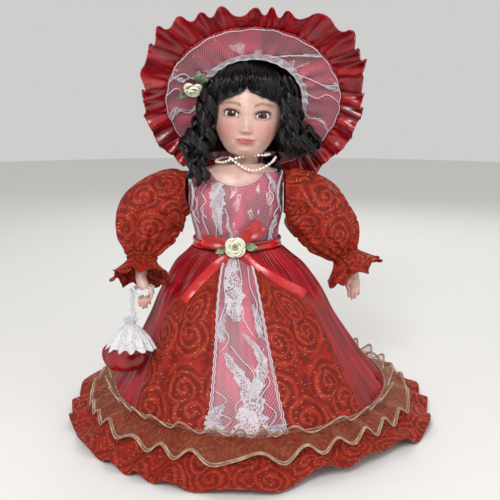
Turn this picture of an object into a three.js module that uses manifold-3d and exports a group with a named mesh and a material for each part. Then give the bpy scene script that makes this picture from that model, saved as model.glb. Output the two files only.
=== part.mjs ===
// A porcelain doll in a brocade gown, standing on a round wire doll stand. Millimetres, +Z up.
// The doll looks along -Y. Its own left hand is at +X, and its right hand, with the bag, at -X.
// The origin is on the table, under the middle of the skirt's hem.
import * as THREE from "three";
import { mergeVertices } from "three/addons/utils/BufferGeometryUtils.js";
import Module from "manifold-3d";

const wasm = await Module();
wasm.setup();

// ---- driving dimensions ----
const gap = 0.4; // between touching pieces
const cloth = 1.6; // thickness of one dress layer
const porcelain = 3; // wall of the hollow castings

const waist = { z: 172, x: -13 };
const hemRadius = 185;
const skirtRings = [
  // height and radius of the gown's outside, from the flounce seam to the waist
  [30, 136], [60, 115], [102, 91], [130, 78], [153, 63], [165, 50], [172, 43],
];
const panelHalf = 15.2; // half width of the lace front panel, degrees
const backHalf = 118; // where the satin meets the back brocade, degrees
const satinEdge = [
  // height and angle of the satin's front edge, which sweeps from the sash to the hem
  [30, 51], [56, 55], [92, 58], [116, 57], [130, 48], [144, 34], [156, 22], [165, 18], [172, 17.2],
];

const neck = { x: -8, y: 2, z: 253, ball: 14 };
const head = { x: 2, y: -2, z: 50, rz: 42, roll: 4 }; // from the neck's ball
const eye = { x: 15, y: -23.2, z: -1.5, r: 6.4 };
const hat = { x: 3, y: 8, z: 316, tilt: 52, opening: 48, brim: 84, ruffle: 107, depth: 42 };
const shoulder = { x: 48.5, z: 226, hole: 20.5 }; // armhole centres, either side of the bodice's middle
const bust = -14; // the bodice's middle
const hip = { x: 16, z: 133, middle: -10 };
const stand = { radius: 62, thick: 6, postX: -10, postY: 36, tube: 3, rod: 1.8, ringX: 42.5, ringZ: 156 };
const wristLoop = { x: -102, y: -46, z: 137, r: 9.4 };
const bag = { x: -117, y: -64, top: 111 };

// ---- materials ----
function finish(color, roughness = 0.8, metalness = 0) {
  return new THREE.MeshStandardMaterial({ color, roughness, metalness });
}
const bisque = finish(0xe3b9a4, 0.35);
const brocade = finish(0x9c2a14, 0.65);
const satin = finish(0xa60a1e, 0.3);
const laceFront = finish(0xc25a72, 0.6);
const whiteCotton = finish(0xf0ece4, 0.9);
const bodyCloth = finish(0xe8d9c5, 0.95);
const organza = finish(0xa45a2a, 0.4);
const blackHair = finish(0x0b090a, 0.4);
const whiteLace = finish(0xf2f2f2, 0.8);
const creamRose = finish(0xe9e4bd, 0.5);
const greenLeaf = finish(0x66794a, 0.6);
const pearl = finish(0xf6ead8, 0.2);
const glassEye = finish(0x2a120a, 0.05);
const blackShoe = finish(0x111013, 0.3);
const steelWire = finish(0xd8d8d6, 0.35, 0.7);
const standPaint = finish(0xf1efea, 0.4);
const card = finish(0xb59a74, 0.9);

// ---- geometry helpers ----
const rad = THREE.MathUtils.degToRad;

// The value at height z in a list of [z, value], on straight lines between them.
function at(list, z) {
  const next = Math.min(list.length - 1, Math.max(1, list.findIndex(([h]) => h >= z)));
  const [z0, v0] = list[z > list.at(-1)[0] ? list.length - 2 : next - 1];
  const [z1, v1] = list[z > list.at(-1)[0] ? list.length - 1 : next];
  return v0 + ((v1 - v0) * (z - z0)) / (z1 - z0);
}

const skirtRadius = (z) => at(skirtRings, z);
const skirtX = (z) => (waist.x * z) / waist.z; // the gown leans from the hem to the waist
const skirtDepth = (z) => at([[30, 1], [130, 1], [172, 0.78]], z); // oval at the waist, round below

function warp(geometry, move) {
  const p = geometry.getAttribute("position");
  const v = new THREE.Vector3();
  for (let i = 0; i < p.count; i++) {
    v.fromBufferAttribute(p, i);
    move(v);
    p.setXYZ(i, v.x, v.y, v.z);
  }
  return geometry;
}

function toSolid(geometry) {
  const bare = new THREE.BufferGeometry();
  const flat = geometry.index ? geometry.toNonIndexed() : geometry;
  bare.setAttribute("position", flat.getAttribute("position").clone());
  const merged = mergeVertices(bare, 1e-3);
  const triVerts = new Uint32Array(merged.index.array);
  const vertProperties = merged.attributes.position.array;
  const made = new wasm.Manifold(new wasm.Mesh({ numProp: 3, vertProperties, triVerts }));
  if (made.volume() > 0) return made;
  for (let i = 0; i < triVerts.length; i += 3) {
    [triVerts[i + 1], triVerts[i + 2]] = [triVerts[i + 2], triVerts[i + 1]];
  }
  return new wasm.Manifold(new wasm.Mesh({ numProp: 3, vertProperties, triVerts }));
}

function toGeometry(solid) {
  const m = solid.getMesh();
  const xyz = new Float32Array(m.numVert * 3);
  for (let i = 0; i < m.numVert; i++) {
    xyz.set(m.vertProperties.subarray(i * m.numProp, i * m.numProp + 3), i * 3);
  }
  const g = new THREE.BufferGeometry();
  g.setAttribute("position", new THREE.BufferAttribute(xyz, 3));
  g.setIndex(new THREE.BufferAttribute(m.triVerts, 1));
  return g;
}

// A lathe about Z from [radius, height] points.
function turned(points, segments = 16) {
  const profile = points.map(([r, z]) => new THREE.Vector2(r, z));
  return new THREE.LatheGeometry(profile, segments).rotateX(Math.PI / 2);
}

function pipe(outer, inner, z0, z1, segments = 16) {
  return turned([[inner, z0], [outer, z0], [outer, z1], [inner, z1], [inner, z0]], segments);
}

// Rings of a unit lathe, each set to its own ellipse {z, rx, ry, x, y}. With a wall it is an open shell.
function oval(sections, { wall = 0, segments = 18 } = {}) {
  const inner = [...sections].reverse().map((s) => ({ ...s, rx: s.rx - wall, ry: s.ry - wall }));
  const loop = wall ? [...sections, ...inner, sections[0]] : sections;
  const profile = loop.map((s, k) => new THREE.Vector2(1, k));
  if (!wall) {
    profile.unshift(new THREE.Vector2(0, 0));
    profile.push(new THREE.Vector2(0, loop.length - 1));
  }
  const g = new THREE.LatheGeometry(profile, segments).rotateX(Math.PI / 2);
  return warp(g, (v) => {
    const s = loop[Math.round(v.z)];
    v.set((s.x ?? 0) + v.x * s.rx, (s.y ?? 0) + v.y * s.ry, s.z);
  });
}

// Sections as short rows: [z, rx, ry, x, y].
const rows = (list) => list.map(([z, rx, ry, x = 0, y = 0]) => ({ z, rx, ry, x, y }));
const swollen = (sections, by) => sections.map((s) => ({ ...s, rx: s.rx + by, ry: s.ry + by }));

// A closed loop of [share of the curve, radius] turned about a bent centre line.
function bent(points, loop, { segments = 15, solid = false } = {}) {
  const curve = new THREE.CatmullRomCurve3(points.map((p) => new THREE.Vector3(...p)));
  const profile = loop.map((_, k) => new THREE.Vector2(1, k));
  if (solid) {
    profile.unshift(new THREE.Vector2(0, 0));
    profile.push(new THREE.Vector2(0, loop.length - 1));
  }
  const g = new THREE.LatheGeometry(profile, segments).rotateX(Math.PI / 2);
  return warp(g, (v) => {
    const [t, r] = loop[Math.round(v.z)];
    const outwards = new THREE.Vector3(Math.sign(points[1][0] - points[0][0]), 0, 0);
    const along = t < 1e-6 ? outwards : curve.getTangentAt(t);
    const front = new THREE.Vector3(0, 1, 0).addScaledVector(along, -along.y).normalize();
    const side = new THREE.Vector3().crossVectors(along, front);
    const [a, b] = [v.x * r, v.y * r];
    v.copy(curve.getPointAt(t)).addScaledVector(front, a).addScaledVector(side, b);
  });
}

// A panel of the gown between two edges (angles in degrees from the front, by height).
function gore(from, to, { z0 = 30.4, z1 = 171.6, outset = 0, thick = cloth, across = 5, up = 7 } = {}) {
  return warp(new THREE.BoxGeometry(1, 1, 1, across, 1, up), (v) => {
    const z = z0 + (z1 - z0) * (v.z + 0.5);
    const angle = rad(from(z) + (to(z) - from(z)) * (v.x + 0.5));
    const r = skirtRadius(z) + outset + thick * (v.y - 0.5);
    v.set(skirtX(z) + r * Math.sin(angle), -r * skirtDepth(z) * Math.cos(angle), z);
  });
}

function box(sx, sy, sz, x, y, z) {
  return new THREE.BoxGeometry(sx, sy, sz).translate(x, y, z);
}

function sphere(r, x, y, z, squash = [1, 1, 1], detail = [10, 6]) {
  return new THREE.SphereGeometry(r, ...detail).scale(...squash).translate(x, y, z);
}

function rod(radius, from, to, segments = 8) {
  const [a, b] = [new THREE.Vector3(...from), new THREE.Vector3(...to)];
  const along = b.clone().sub(a);
  const g = new THREE.CylinderGeometry(radius, radius, along.length(), segments);
  g.applyQuaternion(new THREE.Quaternion().setFromUnitVectors(new THREE.Vector3(0, 1, 0), along.normalize()));
  return g.translate(...a.add(b).multiplyScalar(0.5).toArray());
}

const union = (...geometries) => geometries.map(toSolid).reduce((a, b) => a.add(b));

const doll = new THREE.Group();

function put(name, shape, material, parent = doll) {
  const geometry = shape.isBufferGeometry ? shape : toGeometry(shape);
  const solid = toSolid(geometry); // also turns a lathe's faces outwards
  const mesh = new THREE.Mesh(toGeometry(solid), material);
  mesh.name = name;
  parent.add(mesh);
  return mesh;
}

// ---- stand: base, socket tube, and one bent wire with the waist ring ----
function makeStand() {
  const { radius, thick, postX, postY, tube, rod: wire, ringX, ringZ } = stand;
  const disc = turned(
    [[0, 0], [radius, 0], [radius, thick - 1.5], [radius - 1.5, thick], [0, thick]], 32,
  );
  const boss = turned([[0, 1], [7, 1], [7, 16], [0, 16]]).translate(postX, postY, 0);
  const hole = turned([[0, 3], [tube + gap, 3], [tube + gap, 40], [0, 40]]).translate(postX, postY, 0);
  put("stand_base", union(disc, boss).subtract(toSolid(hole)), standPaint);
  put("stand_tube", pipe(tube, wire + gap, 3 + gap, 104).translate(postX, postY, 0), steelWire);

  const opening = rad(58); // half of the gap in front, where the doll's waist goes in
  const arc = [];
  for (let k = 0; k <= 14; k++) {
    const a = opening + ((2 * Math.PI - 2 * opening) * k) / 14;
    arc.push(new THREE.Vector3(postX + ringX * Math.sin(a), -postY * Math.cos(a), ringZ));
  }
  const section = new THREE.Shape().absarc(0, 0, 1.5, 0, 2 * Math.PI);
  const hoop = new THREE.ExtrudeGeometry(section, {
    extrudePath: new THREE.CatmullRomCurve3(arc), steps: 20, curveSegments: 3,
  });
  const stem = rod(wire, [postX, postY, 50], [postX, postY, ringZ], 12);
  put("clip_wire", union(hoop, stem), steelWire);
}

// ---- cloth body and shoulder plate ----
const plateSections = rows([
  [222, 42, 28, bust], [232, 43, 28, bust], [240, 40, 26, -13.5], [246, 34, 22.5, -12, 0.5],
  [250, 25, 19, -10, 1.5], [253, 18, 17, neck.x, neck.y],
]);

function makeBody() {
  put("cloth_torso", oval(rows([
    [146, 24, 16, hip.middle], [149, 33, 25, hip.middle], [157, 36, 28, -11], [177, 33, 25, -13],
    [208, 38, 28, bust], [220, 37, 24, bust], [230, 30, 18, bust],
  ])), bodyCloth);
  put("pantaloon_seat", oval(rows([
    [148.5, 35, 27.5, hip.middle], [157, 38.2, 30.2, -11], [163, 38, 30, -12],
  ]), { wall: 1.4 }), whiteCotton);

  const hollow = swollen(plateSections.slice(0, 4), -porcelain);
  hollow[0].z -= 1;
  const socket = sphere(neck.ball + 1.5 * gap, neck.x, neck.y, neck.z, [1, 1, 1], [18, 10]);
  put("shoulder_plate", toSolid(oval(plateSections, { segments: 22 }))
    .subtract(toSolid(oval(hollow)))
    .subtract(toSolid(socket)), bisque);
  put("neck_washer", pipe(12, 4.6, 234.4, 236.4).translate(neck.x, neck.y, 0), steelWire);
}

// ---- bodice, sash and the trimmings on it ----
const bodiceSections = rows([
  [173.5, 41, 30, waist.x], [186, 41.5, 31, -13.5], [207, 45.7, 33.6, bust], [224, 46.2, 33.4, bust],
  [232, 46.2, 31.6, bust], [240, 43.8, 29.6, -13.5], [247, 38, 26.2, -12, 0.5],
]);

function makeBodice() {
  const neckline = toSolid(sphere(1, -12, -30, 262, [31, 30, 27], [18, 10]));
  put("bodice", toSolid(oval(bodiceSections, { wall: cloth, segments: 22 })).subtract(neckline), laceFront);
  const belt = rows([[172, 43.4, 32.8, waist.x], [176, 43, 32.6, waist.x], [180.6, 43.2, 32.8, waist.x]]);
  put("sash_band", oval(belt, { wall: 1.1, segments: 22 }), satin);
  const mid = waist.x - 1;
  put("waist_rose", sphere(1, mid, -42.6, 177, [9.8, 6.2, 9.4]), creamRose);
  put("waist_leaves", union(
    sphere(1, mid - 13, -35.6, 173.6, [6.5, 1.9, 4.2]),
    sphere(1, mid + 14, -36, 177, [6.5, 1.9, 4.2]),
    rod(0.9, [mid - 12, -34.8, 176], [mid + 12, -34.8, 177.6], 6),
  ), greenLeaf);
  put("sash_bow", union(
    sphere(1, 0, 0, 0, [11.5, 2.8, 7.5]).rotateY(rad(-35)).translate(mid + 22, -35.5, 190),
    sphere(1, mid - 21, -35, 187, [9.5, 2.8, 5.6]),
    rod(1.1, [mid - 18, -34.6, 185.6], [mid, -33.3, 183], 6),
    rod(1.1, [mid, -33.3, 183], [mid + 18, -35, 187], 6),
  ), satin);
  for (const [k, z] of [[1, 190], [2, 210]]) {
    const back = gap + (z < 200 ? 31.9 : 33.8);
    put(`back_snap_${k}`, turned([[0, 0], [3, 0], [2.4, 1.4], [0, 1.8]], 12)
      .rotateX(-Math.PI / 2)
      .translate(bust, back, z), steelWire);
  }
}

// A string of beads with its thread, as one ring that swells at each bead.
function makeNecklace() {
  const ring = { x: -6, rx: 29.5, ry: 25.5, z: 252.6, dip: 2.2, beads: 28, bead: 2, thread: 0.7 };
  const section = [[-1, 0], [0, -1], [1, 0], [0, 1], [-1, 0]].map(([a, b]) => new THREE.Vector2(10 + a, b));
  const turnsRound = new THREE.LatheGeometry(section, 2 * ring.beads).rotateX(Math.PI / 2);
  put("pearl_necklace", warp(turnsRound, (v) => {
    const a = Math.atan2(v.y, v.x);
    const size = Math.cos(ring.beads * a) > 0 ? ring.bead : ring.thread;
    const out = (Math.hypot(v.x, v.y) - 10) * size;
    v.set(
      ring.x + (ring.rx + out) * Math.cos(a), (ring.ry + out) * Math.sin(a),
      ring.z + ring.dip * Math.sin(a) + v.z * size,
    );
  }), pearl);
}

// ---- gown ----
function makeSkirt() {
  const seam = 0.3; // half of the gap between neighbouring gores, degrees
  const satinAngle = (z) => at(satinEdge, z);
  const even = (angle) => () => angle;
  const mirror = (edge) => (z) => -edge(z);
  put("front_panel", gore(even(-panelHalf), even(panelHalf)), laceFront);
  for (const [side, flip] of [["left", 1], ["right", -1]]) {
    const piece = (name, from, to, material, across) => {
      const [a, b] = flip > 0 ? [from, to] : [mirror(to), mirror(from)];
      put(`${name}_${side}`, gore(a, b, { across }), material);
    };
    piece("brocade_gore", even(panelHalf + 2 * seam), (z) => satinAngle(z) - seam, brocade, 4);
    piece("satin_gore", (z) => satinAngle(z) + seam, even(backHalf - seam), satin, 6);
    piece("brocade_back", even(backHalf + seam), even(180 - seam), brocade, 6);
  }
  const lining = [[12, 121], [30, 121], [102, 84.5], [130, 71.5], [153, 56.5], [164, 46.6]];
  const sections = lining.map(([z, r]) => ({ z, rx: r, ry: r * skirtDepth(z), x: skirtX(z) }));
  put("petticoat", oval(sections, { wall: 1.2, segments: 24 }), whiteCotton);
}

function makeHem() {
  const flounce = turned([
    [137.4, 29.6], [150, 23.6], [hemRadius, 4.4], [hemRadius, 2.4], [149, 21], [136.6, 27.4], [137.4, 29.6],
  ], 36);
  put("hem_flounce", flounce, brocade);
  const frill = turned([
    [140, 34.5], [141, 44], [143.4, 44.5], [146, 33.6], [168, 20.4], [167, 18], [144, 30.5], [140, 34.5],
  ], 32);
  put("organza_ruffle", frill, organza);
}

// ---- head, with the wig, in a group that pivots on the neck's ball ----
function makeHead() {
  const swivel = new THREE.Group();
  swivel.position.set(neck.x, neck.y, neck.z);
  swivel.rotation.y = rad(head.roll);
  doll.add(swivel);

  const skullRows = (grow) => rows([
    [-42, 8, 8, 0, -7], [-37, 17, 16, 0, -7], [-28, 24, 26, 0, -3], [-12, 31, 34, 0, 0],
    [6, 33.5, 36, 0, 1], [20, 31, 34, 0, 1.5], [32, 23, 26, 0, 2], [40, 10, 12, 0, 2],
  ]).map((s) => ({ ...s, z: s.z * (1 + grow / head.rz), rx: s.rx + grow, ry: s.ry + grow }));
  const centred = (g) => g.translate(head.x, head.y, head.z);
  const skull = (grow) => toSolid(centred(oval(skullRows(grow), { segments: 20 })));

  const nose = toSolid(centred(sphere(1, 0, -35, -14.5, [4.4, 5, 5.5], [8, 6])));
  const ball = toSolid(sphere(neck.ball, 0, 0, 0, [1, 1, 1], [18, 10]));
  const stem = toSolid(turned([[0, 0], [12.2, 0], [12.2, 22], [0, 22]]).translate(0.8, -0.4, 0));
  const bore = toSolid(turned([[0, -20], [6.5, -20], [6.5, 26], [0, 26]], 12));
  let shell = skull(0).add(nose).add(ball).add(stem).subtract(skull(-porcelain)).subtract(bore);
  shell = shell.subtract(toSolid(centred(box(90, 90, 30, 0, 0, 28.5 + 15)))); // open crown
  for (const side of [-1, 1]) {
    const seat = centred(sphere(eye.r + gap, side * eye.x, eye.y, eye.z));
    const lids = centred(new THREE.CylinderGeometry(1, 1, 20, 10).scale(5.6, 1, 3.6)
      .translate(side * eye.x, eye.y - 8, eye.z));
    shell = shell.subtract(toSolid(seat)).subtract(toSolid(lids));
    const name = side < 0 ? "glass_eye_right" : "glass_eye_left";
    put(name, centred(sphere(eye.r, side * eye.x, eye.y, eye.z)), glassEye, swivel);
  }
  put("porcelain_head", shell, bisque, swivel);
  const crown = skull(0).intersect(toSolid(centred(box(90, 90, 30, 0, 0, 28.5 + gap + 15))));
  put("head_pate", crown, card, swivel);

  // The wig is cut back from the hat: beyond the brim it stays inside the crown.
  const wigOuter = toSolid(oval(rows([
    [263.5, 70, 34, 0, 8], [272, 66, 37, 0, 6], [286, 56, 38, -1, 3], [302, 47, 42, -2, 4],
    [318, 42.5, 43, -2, 5], [332, 37.5, 39, -2, 6], [344, 27, 28, -1, 7], [350, 14, 14, -1, 7],
  ])));
  const fore = new THREE.Quaternion().setFromAxisAngle(new THREE.Vector3(1, 0, 0), -rad(hat.tilt));
  const hatPlace = (g) => toSolid(g.applyQuaternion(fore).translate(hat.x, hat.y, hat.z));
  const allowed = hatPlace(box(260, 260, 150, 0, 0, -75 - 3.5))
    .add(hatPlace(turned([[0, -10], [44.2, -10], [44.2, 25], [30, 37], [0, 39]], 24)));
  const face = toSolid(oval(rows([
    [255, 33, 30, -4, -34], [300, 32, 30, -3, -33], [317, 28, 30, -2, -34], [323, 14, 28, -2, -34],
  ]), { segments: 16 }));
  const collar = toSolid(turned([[0, 250], [19.5, 250], [19.5, 272], [0, 272]], 12)
    .translate(neck.x, neck.y, 0));
  const inHead = (solid) => {
    swivel.updateMatrixWorld(true);
    return solid.transform(swivel.matrixWorld.clone().invert().elements);
  };
  const hair = inHead(wigOuter.intersect(allowed).subtract(face).subtract(collar)).subtract(skull(gap));
  const fringeCut = inHead(toSolid(box(200, 60, 200, 0, -20.6 - 30, 318 + 100)));
  const whole = hair.decompose().reduce((a, b) => (a.volume() > b.volume() ? a : b));
  const fringe = whole.intersect(fringeCut).decompose().reduce((a, b) => (a.volume() > b.volume() ? a : b));
  put("wig_fringe", fringe, blackHair, swivel);
  const behind = inHead(toSolid(box(200, 60.6, 200, 0, -20.6 - 29.7, 317.6 + 100)));
  const cap = whole.subtract(behind).decompose().reduce((a, b) => (a.volume() > b.volume() ? a : b));
  put("wig", cap, blackHair, swivel);

  const hanger = union(
    rod(1.6, [0, 0, -20], [0, 0, 22]), rod(1.8, [-8.5, 0, 22], [8.5, 0, 22]),
    turned([[0, -22], [6.5, -22], [6.5, -19.6], [0, -19.6]], 12),
  );
  const upright = new THREE.Group();
  upright.position.copy(swivel.position);
  doll.add(upright);
  put("neck_bolt", hanger, steelWire, upright);
}

// The lowest curls rest on the shoulders: in front on the doll's right, behind on its left.
function makeCurls() {
  put("shoulder_curls_right", oval(rows([
    [236, 5, 5, -51, -39.5], [243, 9, 7, -51, -38], [262, 9.5, 8, -51, -33.5],
  ]), { segments: 12 }), blackHair);
  put("shoulder_curls_left", oval(rows([
    [232, 7, 5, 22, 33.5], [242, 10, 6.5, 22, 31.5], [262, 10.6, 7, 22, 27.5],
  ]), { segments: 12 }), blackHair);
}

// ---- hat, in a group tilted back on the crown of the head ----
function makeHat() {
  const g = new THREE.Group();
  g.position.set(hat.x, hat.y, hat.z);
  g.rotation.x = -rad(hat.tilt);
  doll.add(g);
  const { opening, brim, ruffle, depth } = hat;
  put("hat_crown", turned([
    [opening - 0.4, 1.6], [opening - 0.4, 24], [36, depth - 3], [0, depth],
    [0, depth - 2], [34.6, depth - 4.8], [opening - 2.4, 23], [opening - 2.4, 1.6], [opening - 0.4, 1.6],
  ], 24), satin, g);
  put("hat_brim", turned([
    [opening, -0.9], [66, -2.9], [brim, -7.4],
    [brim, -5.6], [66, -1.1], [opening - 0.6, 1.2], [opening, -0.9],
  ], 30), laceFront, g);
  // The frill is nearly round on top and squarer below, where it drops beside the shoulders.
  const square = (v, grow) => {
    const a = Math.atan2(v.y, v.x);
    const r = Math.hypot(v.x, v.y);
    const lower = Math.max(0, -Math.sin(a));
    const corner = lower > 0 ? (Math.abs(Math.cos(a)) ** 3.4 + lower ** 3.4) ** (-1 / 3.4) : 1;
    const k = 1 + grow * (corner - 1);
    v.set(v.x * k, v.y * k, v.z + 1.2 * Math.cos(20 * a) * ((r - brim) / (ruffle - brim)));
  };
  put("hat_ruffle", warp(turned([
    [brim + 2, -5.4], [ruffle, -14], [ruffle - 0.6, -17.5], [brim + 1.9, -9], [brim + 2, -5.4],
  ], 40), (v) => square(v, Math.min(1, (Math.hypot(v.x, v.y) - brim) / (ruffle - brim)) * 0.75)), satin, g);
  put("hat_wire", turned([
    [brim + 0.4, -7.2], [brim + 1, -7.2], [brim + 0.7, -6.4], [brim + 0.4, -7.2],
  ], 30), steelWire, g);
  // The rose sits at the brim's opening, over the doll's right temple.
  put("hat_rose", sphere(1, -58, -19, -12.5, [8.6, 8.6, 5]), creamRose, g);
  put("hat_leaves", union(
    sphere(1, -49, -30, -6, [6, 4, 1.8]), sphere(1, -69, -10, -8.6, [6, 4, 1.7]),
    rod(0.9, [-49, -29.5, -5.2], [-68, -11, -7.2], 6),
  ), greenLeaf, g);
}

// ---- arms: cloth upper arm, porcelain forearm and hand, puffed sleeve and gathered cuff ----
const armPaths = {
  left: [
    [bust + shoulder.x, 0, 226], [50, 0, 222], [67, 0, 205], [85, -1, 180], [99, -2, 157], [105, -3, 146],
  ],
  right: [
    [bust - shoulder.x, 0, 226], [-78, -2, 221], [-96, -9, 205],
    [-104, -20, 182], [-105, -33, 160], [-105, -40, 149],
  ],
};

function makeArm(side) {
  const path = armPaths[side];
  const turn = side === "left" ? 1 : -1;
  const { hole } = shoulder;
  const puff = [[0, hole], [0.12, 26], [0.25, 32.5], [0.45, 33], [0.7, 27], [0.88, 12.5]];
  const inside = puff.map(([t, r]) => [t, r - 1.8]).reverse();
  put(`puff_sleeve_${side}`, bent(path, [...puff, ...inside, puff[0]]), brocade);
  put(`sleeve_cuff_${side}`, bent(path, [
    [0.9, 11.6], [1, 25.6], [0.99, 26.8], [0.89, 13.4], [0.9, 11.6],
  ]), brocade);
  put(`cloth_upper_arm_${side}`, bent(path, [
    [0.03, 9], [0.08, 12], [0.3, 12], [0.5, 10.5], [0.55, 8],
  ], { segments: 12, solid: true }), bodyCloth);

  // The forearm runs on from the cloth arm, and the hand hangs straight down from the wrist.
  const forearm = bent(path, [[0.56, 7.5], [0.6, 9], [0.8, 7.6], [1, 6.2]], { segments: 10, solid: true });
  const [x, y, z] = path.at(-1);
  const reach = side === "left" ? [x + 0.5, y - 2] : [x + 4, y - 7];
  const palm = oval(rows([
    [z - 30, 3, 2.2, ...reach], [z - 24, 6.4, 3.6, ...reach], [z - 13, 7, 4.6, ...reach],
    [z - 5, 6, 5.2, x, y], [z + 3, 6, 6, x, y],
  ]), { segments: 10 });
  const thumb = rod(1.9, [x + turn * -4, y - 3, z - 8], [reach[0] - turn * 6, reach[1] - 4, z - 19], 6);
  put(`porcelain_forearm_${side}`, union(forearm, palm, thumb), bisque);
}

// ---- bag on a lace strap from the right wrist ----
function makeBag() {
  const { x, y, z, r } = wristLoop;
  const path = [];
  for (let k = 0; k < 12; k++) {
    const a = (2 * Math.PI * k) / 12;
    path.push(new THREE.Vector3(x + r * Math.cos(a), y + (r + 0.4) * Math.sin(a), z));
  }
  const tapeCorners = [[-2, -0.5], [2, -0.5], [2, 0.5], [-2, 0.5]];
  const tape = new THREE.Shape(tapeCorners.map((p) => new THREE.Vector2(...p)));
  put("wrist_loop", new THREE.ExtrudeGeometry(tape, {
    extrudePath: new THREE.CatmullRomCurve3(path, true), steps: 20,
  }), whiteLace);
  put("bag_strap", warp(new THREE.BoxGeometry(1.2, 6, 1, 1, 1, 4), (v) => {
    const t = 0.5 - v.z;
    v.set(x - r - 2.2 + v.x + 3 * t, y + v.y + (bag.y + 4 - y) * t, z + 2 - (z + 2 - bag.top - gap) * t);
  }), whiteLace);
  put("bag_pouch", oval(rows([
    [62, 12, 5, bag.x - 1], [66, 18, 8, bag.x - 1], [76, 23, 10.5, bag.x], [86, 20, 10.5, bag.x],
    [94, 12, 8.5, bag.x + 2], [100, 7, 6, bag.x + 3],
  ]).map((s) => ({ ...s, y: bag.y })), { segments: 14 }), satin);
  put("bag_lace", oval(rows([
    [88, 25, 14.6, bag.x + 4], [95, 19, 12.6, bag.x + 4],
    [103, 12.5, 9.6, bag.x + 5], [bag.top, 9, 7.4, bag.x + 5],
  ]).map((s) => ({ ...s, y: bag.y - 0.4 })), { wall: 1.6, segments: 14 }), whiteLace);
}

// ---- legs, in pantaloons and shoes ----
function makeLeg(side) {
  const x = hip.middle + (side === "left" ? hip.x : -hip.x);
  put(`cloth_thigh_${side}`, turned([
    [0, 86], [9, 86], [11.5, 90], [13.5, 118], [12.5, 134], [9, 141], [0, 144.4],
  ], 12).translate(x, 0, 0), bodyCloth);
  put(`pantaloon_leg_${side}`, pipe(15.6, 14.2, 70, 133, 16).translate(x, 0, 0), whiteCotton);
  const leg = union(
    turned([[0, 12], [7, 13], [6.6, 22], [8, 34], [10.4, 55], [9.6, 72], [10.4, 85.6], [0, 85.6]], 12)
      .translate(x, 0, 0),
    sphere(1, x, -9, 13.4, [6.8, 16, 4.6]),
  );
  put(`porcelain_leg_${side}`, leg, bisque);
  const sole = stand.thick + 1; // the feet hang just clear of the stand's base
  const shoe = oval(rows([
    [sole, 9, 20.5, x, -8.6], [14, 9.4, 20, x, -8.2], [17, 9, 18, x, -6.5], [21, 8.8, 10, x, -0.6],
  ]), { segments: 16 });
  const room = union(
    turned([[0, 11.6], [7.5, 11.6], [7.2, 22], [8, 30], [0, 30]], 12).translate(x, 0, 0),
    sphere(1, x, -9, 13.4, [7.2, 16.4, 5]),
    box(11, 14, 12, x, -12, 21),
  );
  put(`shoe_${side}`, toSolid(shoe).subtract(room), blackShoe);
}

makeStand();
makeBody();
makeBodice();
makeNecklace();
makeSkirt();
makeHem();
makeHead();
makeCurls();
makeHat();
for (const side of ["left", "right"]) {
  makeArm(side);
  makeLeg(side);
}
makeBag();

export default doll;
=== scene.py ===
import random
from math import asin, atan2, cos, degrees, exp, hypot, pi, radians, sin, sqrt

import bmesh
import bpy
from mathutils import Matrix, Vector, noise


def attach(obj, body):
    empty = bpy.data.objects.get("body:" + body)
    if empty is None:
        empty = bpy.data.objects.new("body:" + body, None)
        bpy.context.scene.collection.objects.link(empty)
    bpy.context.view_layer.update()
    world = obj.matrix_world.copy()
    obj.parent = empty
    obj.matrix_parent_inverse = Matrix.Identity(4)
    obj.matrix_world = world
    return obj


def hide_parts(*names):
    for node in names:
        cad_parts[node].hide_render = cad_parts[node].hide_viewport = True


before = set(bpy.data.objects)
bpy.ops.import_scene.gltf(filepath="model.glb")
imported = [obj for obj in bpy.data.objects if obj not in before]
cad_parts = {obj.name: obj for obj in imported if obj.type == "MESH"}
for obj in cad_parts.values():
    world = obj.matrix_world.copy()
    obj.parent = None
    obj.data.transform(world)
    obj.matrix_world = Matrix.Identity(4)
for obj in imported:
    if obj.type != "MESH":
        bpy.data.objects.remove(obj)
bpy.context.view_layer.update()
mm = 0.001  # sizes below are in millimetres, and meshes are made in metres
turn = 2 * pi


def lerp(a, b, t):
    return a + (b - a) * t


def clamp(x, low=0.0, high=1.0):
    return max(low, min(high, x))


def smooth(low, high, x):
    t = clamp((x - low) / (high - low))
    return t * t * (3 - 2 * t)


def bell(x, width):
    return exp(-((x / width) ** 2))


def spline(rows, t):
    # a smooth curve through a list of tuples, t from 0 to 1 over the whole list
    s = clamp(t) * (len(rows) - 1)
    i = min(int(s), len(rows) - 2)
    f = s - i
    a, b, c, d = (rows[clamp(k, 0, len(rows) - 1)] for k in (i - 1, i, i + 1, i + 2))
    return tuple(
        0.5 * (2 * q + (r - p) * f + (2 * p - 5 * q + 4 * r - w) * f * f + (3 * q - p - 3 * r + w) * f ** 3)
        for p, q, r, w in zip(a, b, c, d)
    )


def table(rows, x):
    # the smooth value at x in a list of (x, value) with rising x
    if x <= rows[0][0]:
        return rows[0][1]
    if x >= rows[-1][0]:
        return rows[-1][1]
    i = next(k for k in range(1, len(rows)) if rows[k][0] >= x) - 1
    (x0, y0), (x1, y1) = rows[i], rows[i + 1]
    before = rows[max(i - 1, 0)]
    after = rows[min(i + 2, len(rows) - 1)]
    slope0 = (y1 - before[1]) / (x1 - before[0])
    slope1 = (after[1] - y0) / (after[0] - x0)
    h = x1 - x0
    f = (x - x0) / h
    return (
        (2 * f ** 3 - 3 * f * f + 1) * y0 + (f ** 3 - 2 * f * f + f) * h * slope0
        + (3 * f * f - 2 * f ** 3) * y1 + (f ** 3 - f * f) * h * slope1
    )


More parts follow.
